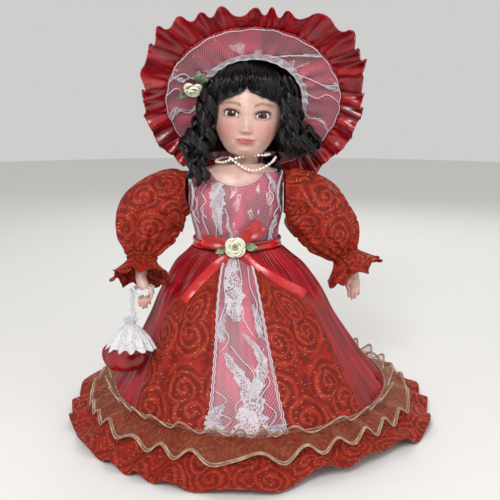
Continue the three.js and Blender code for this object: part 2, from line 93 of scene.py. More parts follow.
def evenPath(points, count, closed=False):
    # points spaced evenly along a spline through the given ones
    rows = [tuple(p) for p in points]
    if closed:
        n = len(rows)
        dense = [
            spline(
                [rows[(i + k) % n] for k in (-1, 0, 1, 2)], (1 + f / 12) / 3,
            ) for i in range(n) for f in range(12)
        ]
        dense.append(dense[0])
    else:
        dense = [spline(rows, k / (len(rows) * 12)) for k in range(len(rows) * 12 + 1)]
    dense = [Vector(p) for p in dense]
    reach = [0.0]
    for a, b in zip(dense, dense[1:]):
        reach.append(reach[-1] + (b - a).length)
    out = []
    j = 0
    steps = count if closed else count - 1
    for k in range(count):
        want = reach[-1] * k / steps
        while j < len(dense) - 2 and reach[j + 1] < want:
            j += 1
        span = max(reach[j + 1] - reach[j], 1e-9)
        out.append(dense[j].lerp(dense[j + 1], clamp((want - reach[j]) / span)))
    return out


def wobble(x, y, z=0.0):
    return noise.noise(Vector((x, y, z)))


def around(a, rx, ry, x, y, z):
    # a point on an oval about z: a is counted from the front towards the left hand
    return Vector((x + rx * sin(a), y - ry * cos(a), z))


def ringAt(a):
    return Vector((cos(a), sin(a), 0))


def columnsAt(rows, z):
    # the smooth values at z of every column in rows of (z, value, value...)
    return [table([(row[0], row[k]) for row in rows], z) for k in range(1, len(rows[0]))]


def edgeOf(point, v, count):
    # the closed line of a surface at one v
    return [point(k / count, v) for k in range(count)]


def newObject(name, mesh):
    obj = bpy.data.objects.new(name, mesh)
    bpy.context.scene.collection.objects.link(obj)
    return obj


def meshFrom(name, points, faces, uvs=None):
    mesh = bpy.data.meshes.new(name)
    mesh.from_pydata([tuple(c * mm for c in p) for p in points], [], faces)
    if uvs:
        layer = mesh.uv_layers.new(name="UVMap")
        flat = [c * mm for face in uvs for uv in face for c in uv]
        layer.data.foreach_set("uv", flat)
    mesh.polygons.foreach_set("use_smooth", [True] * len(mesh.polygons))
    mesh.update()
    return newObject(name, mesh)


def gridData(rows, closedU=False, closedV=False, size=None, flip=False, start=0):
    # faces and uvs (in mm) for rows of points, one list for each step of v
    nv, nu = len(rows), len(rows[0])
    across, up = size or (1, 1)
    faces, uvs = [], []
    for j in range(nv if closedV else nv - 1):
        for i in range(nu if closedU else nu - 1):
            corners = [(i, j), (i + 1, j), (i + 1, j + 1), (i, j + 1)]
            if flip:
                corners.reverse()
            faces.append([start + (b % nv) * nu + a % nu for a, b in corners])
            uvs.append([(a / nu * across, b / nv * up) for a, b in corners])
    return [p for row in rows for p in row], faces, uvs


def sheetFrom(name, point, nu, nv, size, closed=False, flip=False, thick=0.0):
    # a cloth surface from point(u, v), u across and v up, both 0 to 1; size is its cut in mm
    span = nu if closed else nu - 1
    rows = [[point(i / span, j / (nv - 1)) for i in range(nu)] for j in range(nv)]
    obj = meshFrom(name, *gridData(rows, closedU=closed, size=size, flip=flip))
    if thick:
        thicken(obj, thick)
    return obj


def settle(obj):
    # applies the object's modifiers
    depsgraph = bpy.context.evaluated_depsgraph_get()
    mesh = bpy.data.meshes.new_from_object(obj.evaluated_get(depsgraph))
    obj.modifiers.clear()
    obj.data = mesh
    return obj


def thicken(obj, thick, offset=-1.0):
    rim = obj.modifiers.new("thickness", "SOLIDIFY")
    rim.thickness = thick * mm
    rim.offset = offset
    rim.use_even_offset = False
    return settle(obj)


def joined(name, parts):
    # one object from several meshes, keeping their uvs and material slots
    mesh = bpy.data.meshes.new(name)
    bm = bmesh.new()
    slots = []
    for part in parts:
        offset = []
        for m in part.data.materials:
            if m not in slots:
                slots.append(m)
            offset.append(slots.index(m))
        first = len(bm.faces)
        bm.from_mesh(part.data)
        bm.faces.ensure_lookup_table()
        for face in bm.faces[first:]:
            face.material_index = offset[face.material_index] if offset else 0
        bpy.data.objects.remove(part)
    bm.to_mesh(mesh)
    bm.free()
    for m in slots:
        mesh.materials.append(m)
    return newObject(name, mesh)


def ringFrames(path, closed=False):
    # frames that travel along a path without twisting
    frames = []
    n = len(path)
    side = None
    for i, p in enumerate(path):
        ahead = path[(i + 1) % n] if closed or i < n - 1 else p
        behind = path[i - 1] if closed or i > 0 else p
        along = (ahead - behind).normalized()
        if side is None:
            side = along.orthogonal().normalized()
        side = (side - along * side.dot(along)).normalized()
        frames.append((p, side, along.cross(side), along))
    return frames


def cordData(path, radius, sides=8, closed=False, flat=1.0, start=0):
    # a swept tube; radius is a number or radius(t)
    frames = ringFrames(path, closed)
    rows = []
    for k, (p, side, other, _) in enumerate(frames):
        t = k / max(1, len(frames) - 1)
        r = radius(t) if callable(radius) else radius
        row = []
        for s in range(sides):
            a = turn * s / sides
            row.append(p + side * (cos(a) * r) + other * (sin(a) * r * flat))
        rows.append(row)
    length = sum((b - a).length for a, b in zip(path, path[1:]))
    girth = turn * (radius(0.5) if callable(radius) else radius)
    points, faces, uvs = gridData(rows, closedU=True, closedV=closed, size=(girth, length), start=start)
    if not closed:
        faces.append([start + s for s in reversed(range(sides))])
        faces.append([start + (len(rows) - 1) * sides + s for s in range(sides)])
        uvs += [[(0, 0)] * sides, [(0, 0)] * sides]
    return points, faces, uvs


def cords(name, paths, radius, **shape):
    # several swept tubes as one mesh
    points, faces, uvs = [], [], []
    for k, path in enumerate(paths):
        r = radius[k] if isinstance(radius, list) else radius
        p, f, uv = cordData(path, r, start=len(points), **shape)
        points += p
        faces += f
        uvs += uv
    return meshFrom(name, points, faces, uvs)


def beads(name, centres, radius, squash=(1, 1, 1), detail=(12, 8)):
    points, faces, uvs = [], [], []
    nu, nv = detail
    sx, sy, sz = squash
    for n, c in enumerate(centres):
        r = radius[n] if isinstance(radius, list) else radius
        start = len(points)
        for j in range(1, nv):
            for i in range(nu):
                a, b = turn * i / nu, pi * j / nv
                d = Vector((cos(a) * sin(b) * sx, sin(a) * sin(b) * sy, cos(b) * sz))
                points.append(Vector(c) + d * r)
        top, bottom = len(points), len(points) + 1
        points += [Vector(c) + Vector((0, 0, r * sz)), Vector(c) - Vector((0, 0, r * sz))]
        for i in range(nu):
            k = (i + 1) % nu
            faces.append([top, start + i, start + k])
            faces.append([bottom, start + (nv - 2) * nu + k, start + (nv - 2) * nu + i])
            for j in range(nv - 2):
                low, high = start + j * nu, start + (j + 1) * nu
                faces.append([low + i, high + i, high + k, low + k])
    uvs = [[(p[0], p[2]) for p in (points[v] for v in face)] for face in faces]
    return meshFrom(name, points, faces, uvs)


def paint(obj, name, value):
    # a number painted on every vertex, from value(point in mm)
    layer = obj.data.attributes.new(name, "FLOAT", "POINT")
    layer.data.foreach_set("value", [value(v.co / mm) for v in obj.data.vertices])


def place(obj, material, body, *nodes, slotName=None):
    # gives a finished piece its material and body, and hides the CAD nodes it stands for
    obj.data.materials.clear()
    obj.data.materials.append(material)
    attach(obj, body)
    slotName or next(slot for slot, group in slotMaterials.items() if material in group)
    if nodes:
        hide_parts(*nodes)
    return obj


def clothPiece(name, point, steps, size, material, body, *nodes, held, restsOn, **shape):
    obj = sheetFrom(name, point, *steps, size, **shape)
    place(obj, material, body, *nodes)
    return obj


def node(tree, kind, inputs=None, **settings):
    made = tree.nodes.new("ShaderNode" + kind)
    for key, value in settings.items():
        setattr(made, key, value)
    for key, value in (inputs or {}).items():
        if isinstance(value, bpy.types.NodeSocket):
            tree.links.new(value, made.inputs[key])
        else:
            made.inputs[key].default_value = value
    return made


def newMaterial(name, **shader):
    # a material with a Principled shader; shader keys are its inputs, with _ for spaces
    material = bpy.data.materials.new(name)
    material.use_nodes = True
    tree = material.node_tree
    bsdf = tree.nodes["Principled BSDF"]
    for key, value in shader.items():
        bsdf.inputs[key.replace("_", " ")].default_value = value
    return material, tree, bsdf


def feed(tree, bsdf, key, value):
    tree.links.new(value, bsdf.inputs[key])


def maths(tree, operation, a, b=0.0, c=0.0):
    return node(tree, "Math", {0: a, 1: b, 2: c}, operation=operation).outputs[0]


def times(tree, a, b):
    return maths(tree, "MULTIPLY", a, b)


def fitted(tree, a, scale, offset):
    return maths(tree, "MULTIPLY_ADD", a, scale, offset)


def blendColors(tree, amount, a, b, mode="MIX"):
    mix = node(tree, "Mix", data_type="RGBA", blend_type=mode)
    for index, value in ((0, amount), (6, a), (7, b)):
        if isinstance(value, bpy.types.NodeSocket):
            tree.links.new(value, mix.inputs[index])
        else:
            mix.inputs[index].default_value = (*value, 1.0) if index != 0 else value
    return mix.outputs[2]


def noiseAt(tree, where, scale, **more):
    return node(tree, "TexNoise", {"Vector": where, "Scale": scale, **more}).outputs["Fac"]


def cellsAt(tree, where, scale, randomness, **settings):
    inputs = {"Vector": where, "Scale": scale, "Randomness": randomness}
    return node(tree, "TexVoronoi", inputs, voronoi_dimensions="2D", **settings)


def someOf(tree, cells, low, high):
    # picks out the share of the cells whose own random number is above low
    chance = node(tree, "TexWhiteNoise", {"Vector": cells.outputs["Position"]}, noise_dimensions="3D")
    return band(tree, chance.outputs["Value"], low, high)


def band(tree, amount, low, high):
    # 1 between low and high of a value, soft at both sides.
    return node(tree, "MapRange", {0: amount, 1: low, 2: high}, interpolation_type="SMOOTHSTEP").outputs[0]


def scaled(tree, vector, scale):
    return node(tree, "VectorMath", {0: vector, 1: scale}, operation="MULTIPLY").outputs[0]


def clothPlace(tree):
    # the cloth's own flat coordinates in metres
    return node(tree, "TexCoord").outputs["UV"]


def solidPlace(tree):
    return node(tree, "TexCoord").outputs["Object"]


def bump(tree, bsdf, height, distance, strength=0.6):
    made = node(tree, "Bump", {"Height": height, "Distance": distance, "Strength": strength})
    feed(tree, bsdf, "Normal", made.outputs[0])


def dim(color, share):
    return tuple(c * share for c in color)


def weave(tree, where, threads, randomness=0.0):
    # over and under threads, from 0 to 1; threads is how many in a metre
    split = node(tree, "SeparateXYZ", {0: scaled(tree, where, (threads, threads, threads))})
    a = maths(tree, "SINE", times(tree, split.outputs[0], turn))
    b = maths(tree, "SINE", times(tree, split.outputs[1], turn))
    return fitted(tree, times(tree, a, b), 0.5, 0.5)


def brocadeMaterial():
    # rust-red jacquard: tone-on-tone scrolls, gold dashes and a fine twill ground
    look = {
        "ground": (0.335, 0.011, 0.0015), "scroll": (0.43, 0.035, 0.006), "shade": (0.155, 0.003, 0.001),
        "gold": (0.85, 0.38, 0.11),
    }
    material, tree, bsdf = newMaterial(
        "brocade", Roughness=0.6, Sheen_Weight=0.08, Sheen_Roughness=0.4, Specular_IOR_Level=0.3,
    )
    bsdf.inputs["Sheen Tint"].default_value = (1.0, 0.25, 0.08, 1.0)
    uv = clothPlace(tree)
    drift = node(tree, "TexNoise", {"Vector": uv, "Scale": 30.0, "Detail": 1.0})
    bent = node(
        tree, "VectorMath", {0: drift.outputs["Color"], 1: (0.012, 0.012, 0)}, operation="MULTIPLY_ADD",
    )
    tree.links.new(uv, bent.inputs[2])
    cells = cellsAt(tree, bent.outputs[0], 27.0, 0.75)
    away = node(
        tree, "VectorMath",
        {
            0: scaled(tree, bent.outputs[0], (27.0, 27.0, 0)),
            1: scaled(tree, cells.outputs["Position"], (27.0, 27.0, 0)),
        },
        operation="SUBTRACT",
    )
    split = node(tree, "SeparateXYZ", {0: away.outputs[0]})
    angle = maths(tree, "ARCTAN2", split.outputs[1], split.outputs[0])
    radius = cells.outputs["Distance"]
    swirl = maths(tree, "SINE", fitted(tree, radius, 30.0, angle))
    scroll = times(tree, band(tree, swirl, 0.15, 0.95), band(tree, radius, 0.72, 0.5))
    leafy = noiseAt(tree, uv, 95.0, Detail=3.0, Roughness=0.6)
    tone = blendColors(tree, band(tree, leafy, 0.36, 0.62), look["shade"], look["ground"])
    groove = times(tree, band(tree, swirl, -0.25, -0.8), band(tree, radius, 0.72, 0.5))
    color = blendColors(tree, times(tree, scroll, 0.62), tone, look["scroll"])
    color = blendColors(tree, times(tree, groove, 0.7), color, look["shade"])
    dashes = cellsAt(tree, scaled(tree, uv, (1.0, 2.4, 1.0)), 150.0, 0.85)
    fleck = band(tree, dashes.outputs["Distance"], 0.17, 0.09)
    some = someOf(tree, dashes, 0.55, 0.57)
    gold = times(tree, fleck, some)
    color = blendColors(tree, times(tree, gold, 0.7), color, look["gold"])
    threads = weave(tree, uv, 1900.0)
    color = blendColors(tree, times(tree, threads, 0.22), color, (0.09, 0.006, 0.003))
    feed(tree, bsdf, "Base Color", color)
    feed(tree, bsdf, "Roughness", fitted(tree, maths(tree, "MAXIMUM", scroll, gold), -0.27, 0.62))
    feed(tree, bsdf, "Metallic", times(tree, gold, 0.6))
    height = maths(
        tree, "ADD", times(tree, scroll, 0.5),
        maths(tree, "ADD", times(tree, threads, 0.3), times(tree, gold, 0.7)),
    )
    bump(tree, bsdf, height, 0.0005, 0.7)
    return material


def satinMaterial(name, color, deep, roughness=0.3):
    # polyester satin: long floats shine along the cloth, with gentle creases painted in as shade: the deep
    # colour darkens the cloth along noise-made folds, with a matching bump
    material, tree, bsdf = newMaterial(
        name, Roughness=roughness, Anisotropic=0.45, Sheen_Weight=0.05, Sheen_Roughness=0.3,
        Specular_IOR_Level=0.62,
    )
    bsdf.inputs["Sheen Tint"].default_value = (1.0, 0.35, 0.4, 1.0)
    uv = clothPlace(tree)
    crease = noiseAt(tree, scaled(tree, uv, (42.0, 20.0, 1.0)), 1.0, Detail=4.0, Distortion=0.6)
    floats = noiseAt(tree, scaled(tree, uv, (2600.0, 260.0, 1.0)), 1.0, Detail=1.0)
    # painted shade: where the crease noise is low the colour falls to the deep shade colour
    foldShadedColor = blendColors(tree, band(tree, crease, 0.35, 0.65), deep, color)
    feed(tree, bsdf, "Base Color", foldShadedColor)
    feed(tree, bsdf, "Roughness", fitted(tree, floats, 0.16, roughness - 0.08))
    height = maths(tree, "ADD", times(tree, crease, 1.0), times(tree, floats, 0.06))
    bump(tree, bsdf, height, 0.0022, 0.6)
    return material


def netMaterial():
    # rose satin under white net, with dense lace sprays in soft-edged drifts; the satin's creases are
    # painted shade, its deep colour mixed in by noise
    look = {"satin": (0.49, 0.014, 0.058), "deep": (0.19, 0.005, 0.024), "white": (0.66, 0.49, 0.54)}
    material, tree, bsdf = newMaterial(
        "netOverSatin", Roughness=0.45, Sheen_Weight=0.08, Specular_IOR_Level=0.4,
    )
    uv = clothPlace(tree)
    crease = noiseAt(tree, scaled(tree, uv, (60.0, 16.0, 1.0)), 1.0, Detail=2.0)
    # painted shade: the ground falls to the deep colour where the crease noise is low
    ground = blendColors(tree, band(tree, crease, 0.38, 0.62), look["deep"], look["satin"])
    slant = node(tree, "Mapping", {"Vector": uv, "Rotation": (0, 0, 0.62)}).outputs["Vector"]
    mesh = cellsAt(tree, scaled(tree, slant, (1.0, 1.2, 1.0)), 520.0, 0.2, feature="DISTANCE_TO_EDGE")
    net = band(tree, mesh.outputs["Distance"], 0.17, 0.10)
    drift = noiseAt(tree, scaled(tree, uv, (1.0, 0.45, 1.0)), 62.0, Detail=2.5, Distortion=0.8)
    spray = band(tree, drift, 0.66, 0.69)
    outline = times(tree, band(tree, drift, 0.625, 0.645), band(tree, drift, 0.665, 0.65))
    holes = cellsAt(tree, uv, 420.0, 0.9)
    spray = times(tree, spray, band(tree, holes.outputs["Distance"], 0.16, 0.3))
    white = maths(
        tree, "MAXIMUM", times(tree, net, 0.52),
        maths(tree, "MAXIMUM", times(tree, spray, 0.85), times(tree, outline, 0.9)),
    )
    feed(tree, bsdf, "Base Color", blendColors(tree, white, ground, look["white"]))
    feed(tree, bsdf, "Roughness", fitted(tree, white, 0.35, 0.38))
    bump(tree, bsdf, white, 0.0004, 0.8)
    return material


def laceMaterial(name="whiteLace", holeScale=330.0, openness=0.16, color=(0.86, 0.86, 0.88)):
    # white nylon lace: threads round open holes, the cloth itself see-through at the holes
    material, tree, bsdf = newMaterial(name, Roughness=0.7, Sheen_Weight=0.4)
    uv = clothPlace(tree)
    holes = cellsAt(tree, uv, holeScale, 0.85)
    motif = noiseAt(tree, uv, 110.0, Detail=2.0)
    dense = band(tree, motif, 0.45, 0.55)
    opening = fitted(tree, dense, -0.5 * openness, openness)
    solid = maths(tree, "GREATER_THAN", holes.outputs["Distance"], opening)
    threads = weave(tree, uv, 1500.0)
    shade = fitted(tree, threads, 0.25, times(tree, dense, 0.35))
    feed(tree, bsdf, "Base Color", blendColors(tree, shade, dim(color, 0.72), color))
    feed(tree, bsdf, "Alpha", solid)
    bump(tree, bsdf, maths(tree, "ADD", holes.outputs["Distance"], times(tree, threads, 0.3)), 0.0006, 0.8)
    return material


def cottonMaterial(name, color, threads=1500.0, rough=0.92):
    material, tree, bsdf = newMaterial(name, Roughness=rough, Sheen_Weight=0.3)
    where = solidPlace(tree)
    split = node(tree, "SeparateXYZ", {0: where})
    wrapped = node(
        tree, "CombineXYZ",
        {0: maths(tree, "ADD", split.outputs[0], split.outputs[1]), 1: split.outputs[2]},
    )
    woven = weave(tree, wrapped.outputs[0], threads)
    soil = noiseAt(tree, where, 60.0, Detail=3.0)
    dark = dim(color, 0.82)
    soiled = blendColors(tree, soil, dark, color)
    feed(tree, bsdf, "Base Color", blendColors(tree, times(tree, woven, 0.2), soiled, dark))
    bump(tree, bsdf, maths(tree, "ADD", woven, soil), 0.0003, 0.6)
    return material


def organzaMaterial():
    # sheer shot organza: brown one way, gold the other, with a fine open weave; here the gold comes in
    # noise patches, partly the cloth's shot colour and partly painted sheen, and small orange glints are
    # painted into the colour
    material, tree, bsdf = newMaterial("organza", Roughness=0.38, Sheen_Weight=0.5, Specular_IOR_Level=0.7)
    bsdf.inputs["Sheen Tint"].default_value = (1.0, 0.75, 0.45, 1.0)
    uv = clothPlace(tree)
    shotWeaveAndSheen = noiseAt(tree, scaled(tree, uv, (25.0, 70.0, 1.0)), 1.0, Detail=1.0)
    drift = noiseAt(tree, scaled(tree, uv, (60.0, 30.0, 1.0)), 1.0, Detail=2.0)
    # partly painted sheen: the gold tone comes in where this noise is high
    gold = blendColors(tree, band(tree, shotWeaveAndSheen, 0.42, 0.62), (0.21, 0.024, 0.006), (0.31, 0.10, 0.035))
    color = blendColors(tree, band(tree, drift, 0.4, 0.65), gold, (0.30, 0.06, 0.015))
    # painted glints: small bright orange spots mixed into the colour
    sparkle = cellsAt(tree, uv, 900.0, 1.0)
    glint = times(tree, band(tree, sparkle.outputs["Distance"], 0.3, 0.2), someOf(tree, sparkle, 0.9, 0.92))
    color = blendColors(tree, glint, color, (1.0, 0.62, 0.3))
    feed(tree, bsdf, "Base Color", color)
    threads = weave(tree, uv, 1400.0)
    see = fitted(tree, maths(tree, "MAXIMUM", threads, glint), 0.24, 0.08)
    feed(tree, bsdf, "Alpha", see)
    bump(tree, bsdf, threads, 0.0003, 0.4)
    return material


def ribbonMaterial(name, color, edge=None):
    # narrow satin ribbon with cross ribs; its edge colour is painted sheen, a paler tone mixed in noise
    # patches
    material, tree, bsdf = newMaterial(name, Roughness=0.3, Anisotropic=0.4, Sheen_Weight=0.3)
    uv = clothPlace(tree)
    ribs = node(tree, "TexWave", {"Vector": uv, "Scale": 480.0, "Distortion": 0.4}, bands_direction="Y")
    soft = noiseAt(tree, uv, 130.0, Detail=2.0)
    base = blendColors(tree, soft, dim(color, 0.7), color)
    # painted sheen: the paler edge colour comes in where the noise is high
    if edge:
        base = blendColors(tree, band(tree, soft, 0.45, 0.7), base, edge)
    feed(tree, bsdf, "Base Color", base)
    feed(tree, bsdf, "Roughness", fitted(tree, ribs.outputs["Fac"], 0.12, 0.26))
    bump(tree, bsdf, fitted(tree, ribs.outputs["Fac"], 0.2, soft), 0.0006, 0.5)
    return material


def hairMaterial():
    # black wig fibre: fine strands along each lock
    material, tree, bsdf = newMaterial(
        "blackHair", Roughness=0.28, Anisotropic=0.5, Specular_IOR_Level=0.34,
    )
    uv = clothPlace(tree)
    strands = noiseAt(tree, scaled(tree, uv, (3200.0, 120.0, 1.0)), 1.0, Detail=2.0)
    feed(
        tree, bsdf, "Base Color",
        blendColors(tree, strands, (0.0008, 0.0006, 0.0008), (0.005, 0.004, 0.0045)),
    )
    feed(tree, bsdf, "Roughness", fitted(tree, strands, 0.2, 0.2))
    bump(tree, bsdf, strands, 0.0004, 0.6)
    return material


def bisqueMaterial():
    # unglazed painted porcelain; cheeks and lips are painted attributes
    look = {
        "skin": (0.59, 0.385, 0.325), "shade": (0.53, 0.325, 0.270), "blush": (0.54, 0.165, 0.135),
        "lips": (0.45, 0.115, 0.095),
    }
    material, tree, bsdf = newMaterial(
        "bisque", Roughness=0.4, Coat_Weight=0.12, Coat_Roughness=0.3, Sheen_Weight=0.08,
    )
    where = solidPlace(tree)
    mottle = noiseAt(tree, where, 110.0, Detail=4.0)
    color = blendColors(tree, band(tree, mottle, 0.4, 0.7), look["skin"], look["shade"])
    cheeks = node(tree, "Attribute", attribute_name="blush").outputs["Fac"]
    lips = node(tree, "Attribute", attribute_name="lips").outputs["Fac"]
    color = blendColors(tree, cheeks, color, look["blush"])
    color = blendColors(tree, lips, color, look["lips"])
    feed(tree, bsdf, "Base Color", color)
    grain = noiseAt(tree, where, 2600.0, Detail=2.0)
    feed(tree, bsdf, "Roughness", fitted(tree, grain, 0.14, fitted(tree, lips, -0.12, 0.36)))
    bump(tree, bsdf, fitted(tree, mottle, 2.0, grain), 0.00008, 0.5)
    return material


def paintMaterial(name, color, rough=0.5):
    # brush-painted china paint, uneven in its strokes
    material, tree, bsdf = newMaterial(name, Roughness=rough)
    streak = noiseAt(tree, solidPlace(tree), 900.0, Detail=2.0)
    feed(tree, bsdf, "Base Color", blendColors(tree, streak, dim(color, 0.65), color))
    bump(tree, bsdf, streak, 0.00005, 0.5)
    return material


def eyeMaterial():
    # glass eye: white ball, streaked brown iris and black pupil, painted about the y axis of the uv; the
    # white darkens away from the iris as painted shade from the lids
    material, tree, bsdf = newMaterial(
        "glassEye", Roughness=0.12, Coat_Weight=0.25, Coat_Roughness=0.03, Specular_IOR_Level=0.35,
    )
    uv = clothPlace(tree)
    split = node(tree, "SeparateXYZ", {0: uv})
    radius = node(tree, "VectorMath", {0: uv}, operation="LENGTH").outputs["Value"]
    angle = maths(tree, "ARCTAN2", split.outputs[1], split.outputs[0])
    rays = node(tree, "TexNoise", {"W": times(tree, angle, 9.0)}, noise_dimensions="1D")
    iris = blendColors(tree, rays.outputs["Fac"], (0.022, 0.006, 0.003), (0.12, 0.034, 0.010))
    iris = blendColors(tree, band(tree, radius, 0.0038, 0.0046), iris, (0.012, 0.005, 0.003))
    # painted shade: the white falls to a dull brownish grey towards the corners under the lids
    white = blendColors(tree, band(tree, radius, 0.0052, 0.0085), (0.80, 0.78, 0.77), (0.52, 0.42, 0.40))
    color = blendColors(tree, band(tree, radius, 0.0045, 0.0048), iris, white)
    color = blendColors(tree, band(tree, radius, 0.0021, 0.0018), color, (0.002, 0.002, 0.002))
    feed(tree, bsdf, "Base Color", color)
    return material


def pearlMaterial():
    material, tree, bsdf = newMaterial("pearl", Roughness=0.22, Coat_Weight=0.7, Coat_Roughness=0.1)
    shimmer = noiseAt(tree, solidPlace(tree), 170.0)
    luster = noiseAt(tree, solidPlace(tree), 500.0)
    base = blendColors(tree, luster, (0.80, 0.70, 0.58), (0.92, 0.84, 0.74))
    feed(
        tree, bsdf, "Base Color",
        blendColors(tree, band(tree, shimmer, 0.5, 0.7), base, (0.72, 0.62, 0.66)),
    )
    return material


def metalMaterial(name, color, metallic, rough, brush=900.0):
    material, tree, bsdf = newMaterial(name, Metallic=metallic)
    marks = noiseAt(tree, scaled(tree, solidPlace(tree), (brush, brush, brush * 0.1)), 1.0, Detail=3.0)
    wear = noiseAt(tree, solidPlace(tree), 90.0, Detail=4.0)
    feed(tree, bsdf, "Base Color", blendColors(tree, wear, dim(color, 0.78), color))
    feed(tree, bsdf, "Roughness", fitted(tree, marks, 0.2, rough - 0.1))
    bump(tree, bsdf, marks, 0.0001, 0.3)
    return material


def shoeMaterial():
    material, tree, bsdf = newMaterial("shoeLeather", Roughness=0.35, Coat_Weight=0.3)
    grain = node(tree, "TexVoronoi", {"Vector": solidPlace(tree), "Scale": 1500.0})
    scuff = noiseAt(tree, solidPlace(tree), 120.0, Detail=3.0)
    feed(tree, bsdf, "Base Color", blendColors(tree, scuff, (0.008, 0.007, 0.008), (0.03, 0.028, 0.03)))
    feed(tree, bsdf, "Roughness", fitted(tree, scuff, 0.3, 0.2))
    bump(tree, bsdf, grain.outputs["Distance"], 0.0002, 0.5)
    return material


brocade = brocadeMaterial()
# the second colour of each satin is its painted fold shade
crimson = satinMaterial("crimsonSatin", (0.33, 0.001, 0.008), (0.15, 0.0005, 0.003), 0.25)
gownSatin = satinMaterial("gownSatin", (0.36, 0.001, 0.011), (0.20, 0.0005, 0.004), 0.36)
sashRed = satinMaterial("sashSatin", (0.55, 0.003, 0.004), (0.34, 0.001, 0.002), 0.24)
roseNet = netMaterial()
whiteLace = laceMaterial()
laceTrim = laceMaterial("laceTrim", 620.0, 0.30, (0.70, 0.63, 0.68))
cotton = cottonMaterial("whiteCotton", (0.84, 0.82, 0.78))
muslin = cottonMaterial("muslin", (0.74, 0.62, 0.50), 1100.0)
organza = organzaMaterial()
# each ribbon's paler second colour is its painted sheen
goldEdge = ribbonMaterial("goldEdge", (0.36, 0.20, 0.11), (0.47, 0.38, 0.29))
laceCord = cottonMaterial("laceCord", (0.72, 0.64, 0.69), 2200.0, 0.75)
blackHair = hairMaterial()
bisque = bisqueMaterial()
roseRibbon = ribbonMaterial("roseRibbon", (0.83, 0.82, 0.58), (0.95, 0.93, 0.78))
leafRibbon = ribbonMaterial("leafRibbon", (0.10, 0.16, 0.065), (0.55, 0.60, 0.42))
glassEye = eyeMaterial()
pearl = pearlMaterial()
wire = metalMaterial("steelWire", (0.66, 0.66, 0.65), 1.0, 0.32)
enamel = metalMaterial("whiteEnamel", (0.82, 0.81, 0.78), 0.0, 0.35, 200.0)
card = cottonMaterial("pressedCard", (0.42, 0.30, 0.17), 500.0)
shoeLeather = shoeMaterial()
lashPaint = paintMaterial("lashPaint", (0.018, 0.009, 0.006))
browPaint = paintMaterial("browPaint", (0.36, 0.205, 0.115))
# the materials that fill each of the CAD's slots
slotMaterials = {
    "brocade": [brocade], "satin": [crimson, gownSatin, sashRed], "lace_front": [roseNet],
    "white_lace": [whiteLace, laceTrim, laceCord], "white_cotton": [cotton], "organza": [organza, goldEdge],
    "black_hair": [blackHair], "bisque": [bisque, lashPaint, browPaint], "cream_rose": [roseRibbon],
    "green_leaf": [leafRibbon], "glass_eye": [glassEye], "pearl": [pearl], "shoe": [shoeLeather],
}
print("materials ready")

# the gown: the same leaning, flaring surface as the frame's skirt panels
skirt = {
    "rings": [(30, 136), (60, 115), (102, 91), (130, 78), (153, 63), (165, 50), (172, 43)],
    "oval": (130, 172, 0.78), "lean": -13 / 172,
    "top": 171.6, "bottom": 29.2,
    # where the panels meet, in degrees from the front
    "panelHalf": 15.2, "backHalf": 118, "backSeam": 179.9,
    "satinEdge": [
        (30, 51), (56, 55), (92, 58), (116, 57), (130, 48), (144, 34), (156, 22), (165, 18), (172, 17.2),
    ],
}


def squashAt(z):
    # the gown is round below and an oval at the waist
    low, high, flat = skirt["oval"]
    return 1.0 if z < low else lerp(1.0, flat, (z - low) / (high - low))


def skirtPoint(angle, z, out=0.0):
    # a point on the gown: angle in degrees from the front towards the left hand
    r = table(skirt["rings"], z) + out
    a = radians(angle)
    squash = squashAt(z)
    return around(a, r, r * squash, skirt["lean"] * z, 0, z)


def gore(name, left, right, count, fold, material, nodeName, pleats=0.0):
    # one panel between two edges; fold is how deep its soft flutes are, and pleats gathers its top
    def point(u, v):
        z = lerp(skirt["bottom"], skirt["top"], v)
        a0, a1 = left(z), right(z)
        angle = lerp(a0, a1, u)
        edge = smooth(0, 0.12, u) * smooth(0, 0.12, 1 - u)
        flare = 0.25 + 0.75 * (1 - v) ** 0.8
        wave = sin(angle * 0.36 + 1.3 * wobble(angle * 0.05, z * 0.012)) + 0.5 * sin(angle * 0.83 + 2.0)
        slack = 1.4 * wobble(angle * 0.09, z * 0.035, 4.0)
        tuck = pleats * smooth(0.62, 1.0, v) * sin(angle * 1.9 + wobble(angle * 0.2, 0) * 2)
        return skirtPoint(angle, z, 0.4 + edge * (fold * (wave + 0.55) * flare + slack * 0.8 + tuck))

    width = turn * 105 * abs(right(60) - left(60)) / 360
    return clothPiece(name, point, (count, 120), (width, 158), material, "torso", nodeName,
                      held="gathered", restsOn="petticoat", thick=0.5)


def edgeAt(sign):
    return lambda z: sign * table(skirt["satinEdge"], z)


def makeGown():
    half, back = skirt["panelHalf"], skirt["backHalf"]
    gore("frontPanel", lambda z: -half, lambda z: half, 70, 0.5, roseNet, "front_panel")
    for side, sign in (("left", 1), ("right", -1)):
        inner, outer = (lambda z, s=sign: s * half), edgeAt(sign)
        seam, tail = (lambda z, s=sign: s * back), (lambda z, s=sign: s * skirt["backSeam"])
        pairs = [(inner, outer), (outer, seam), (seam, tail)]
        if sign < 0:
            pairs = [(b, a) for a, b in pairs]
        gore(f"brocadeGore_{side}", *pairs[0], 90, 1.5, brocade, f"brocade_gore_{side}", 0.8)
        gore(f"satinGore_{side}", *pairs[1], 130, 2.6, gownSatin, f"satin_gore_{side}", 0.9)
        gore(f"brocadeBack_{side}", *pairs[2], 120, 2.6, brocade, f"brocade_back_{side}", 1.2)


def onSkirt(points, out):
    # a smooth line over the gown through (angle, height) points
    return [skirtPoint(a, z, out) for a, z in (spline(points, k / 60) for k in range(61))]


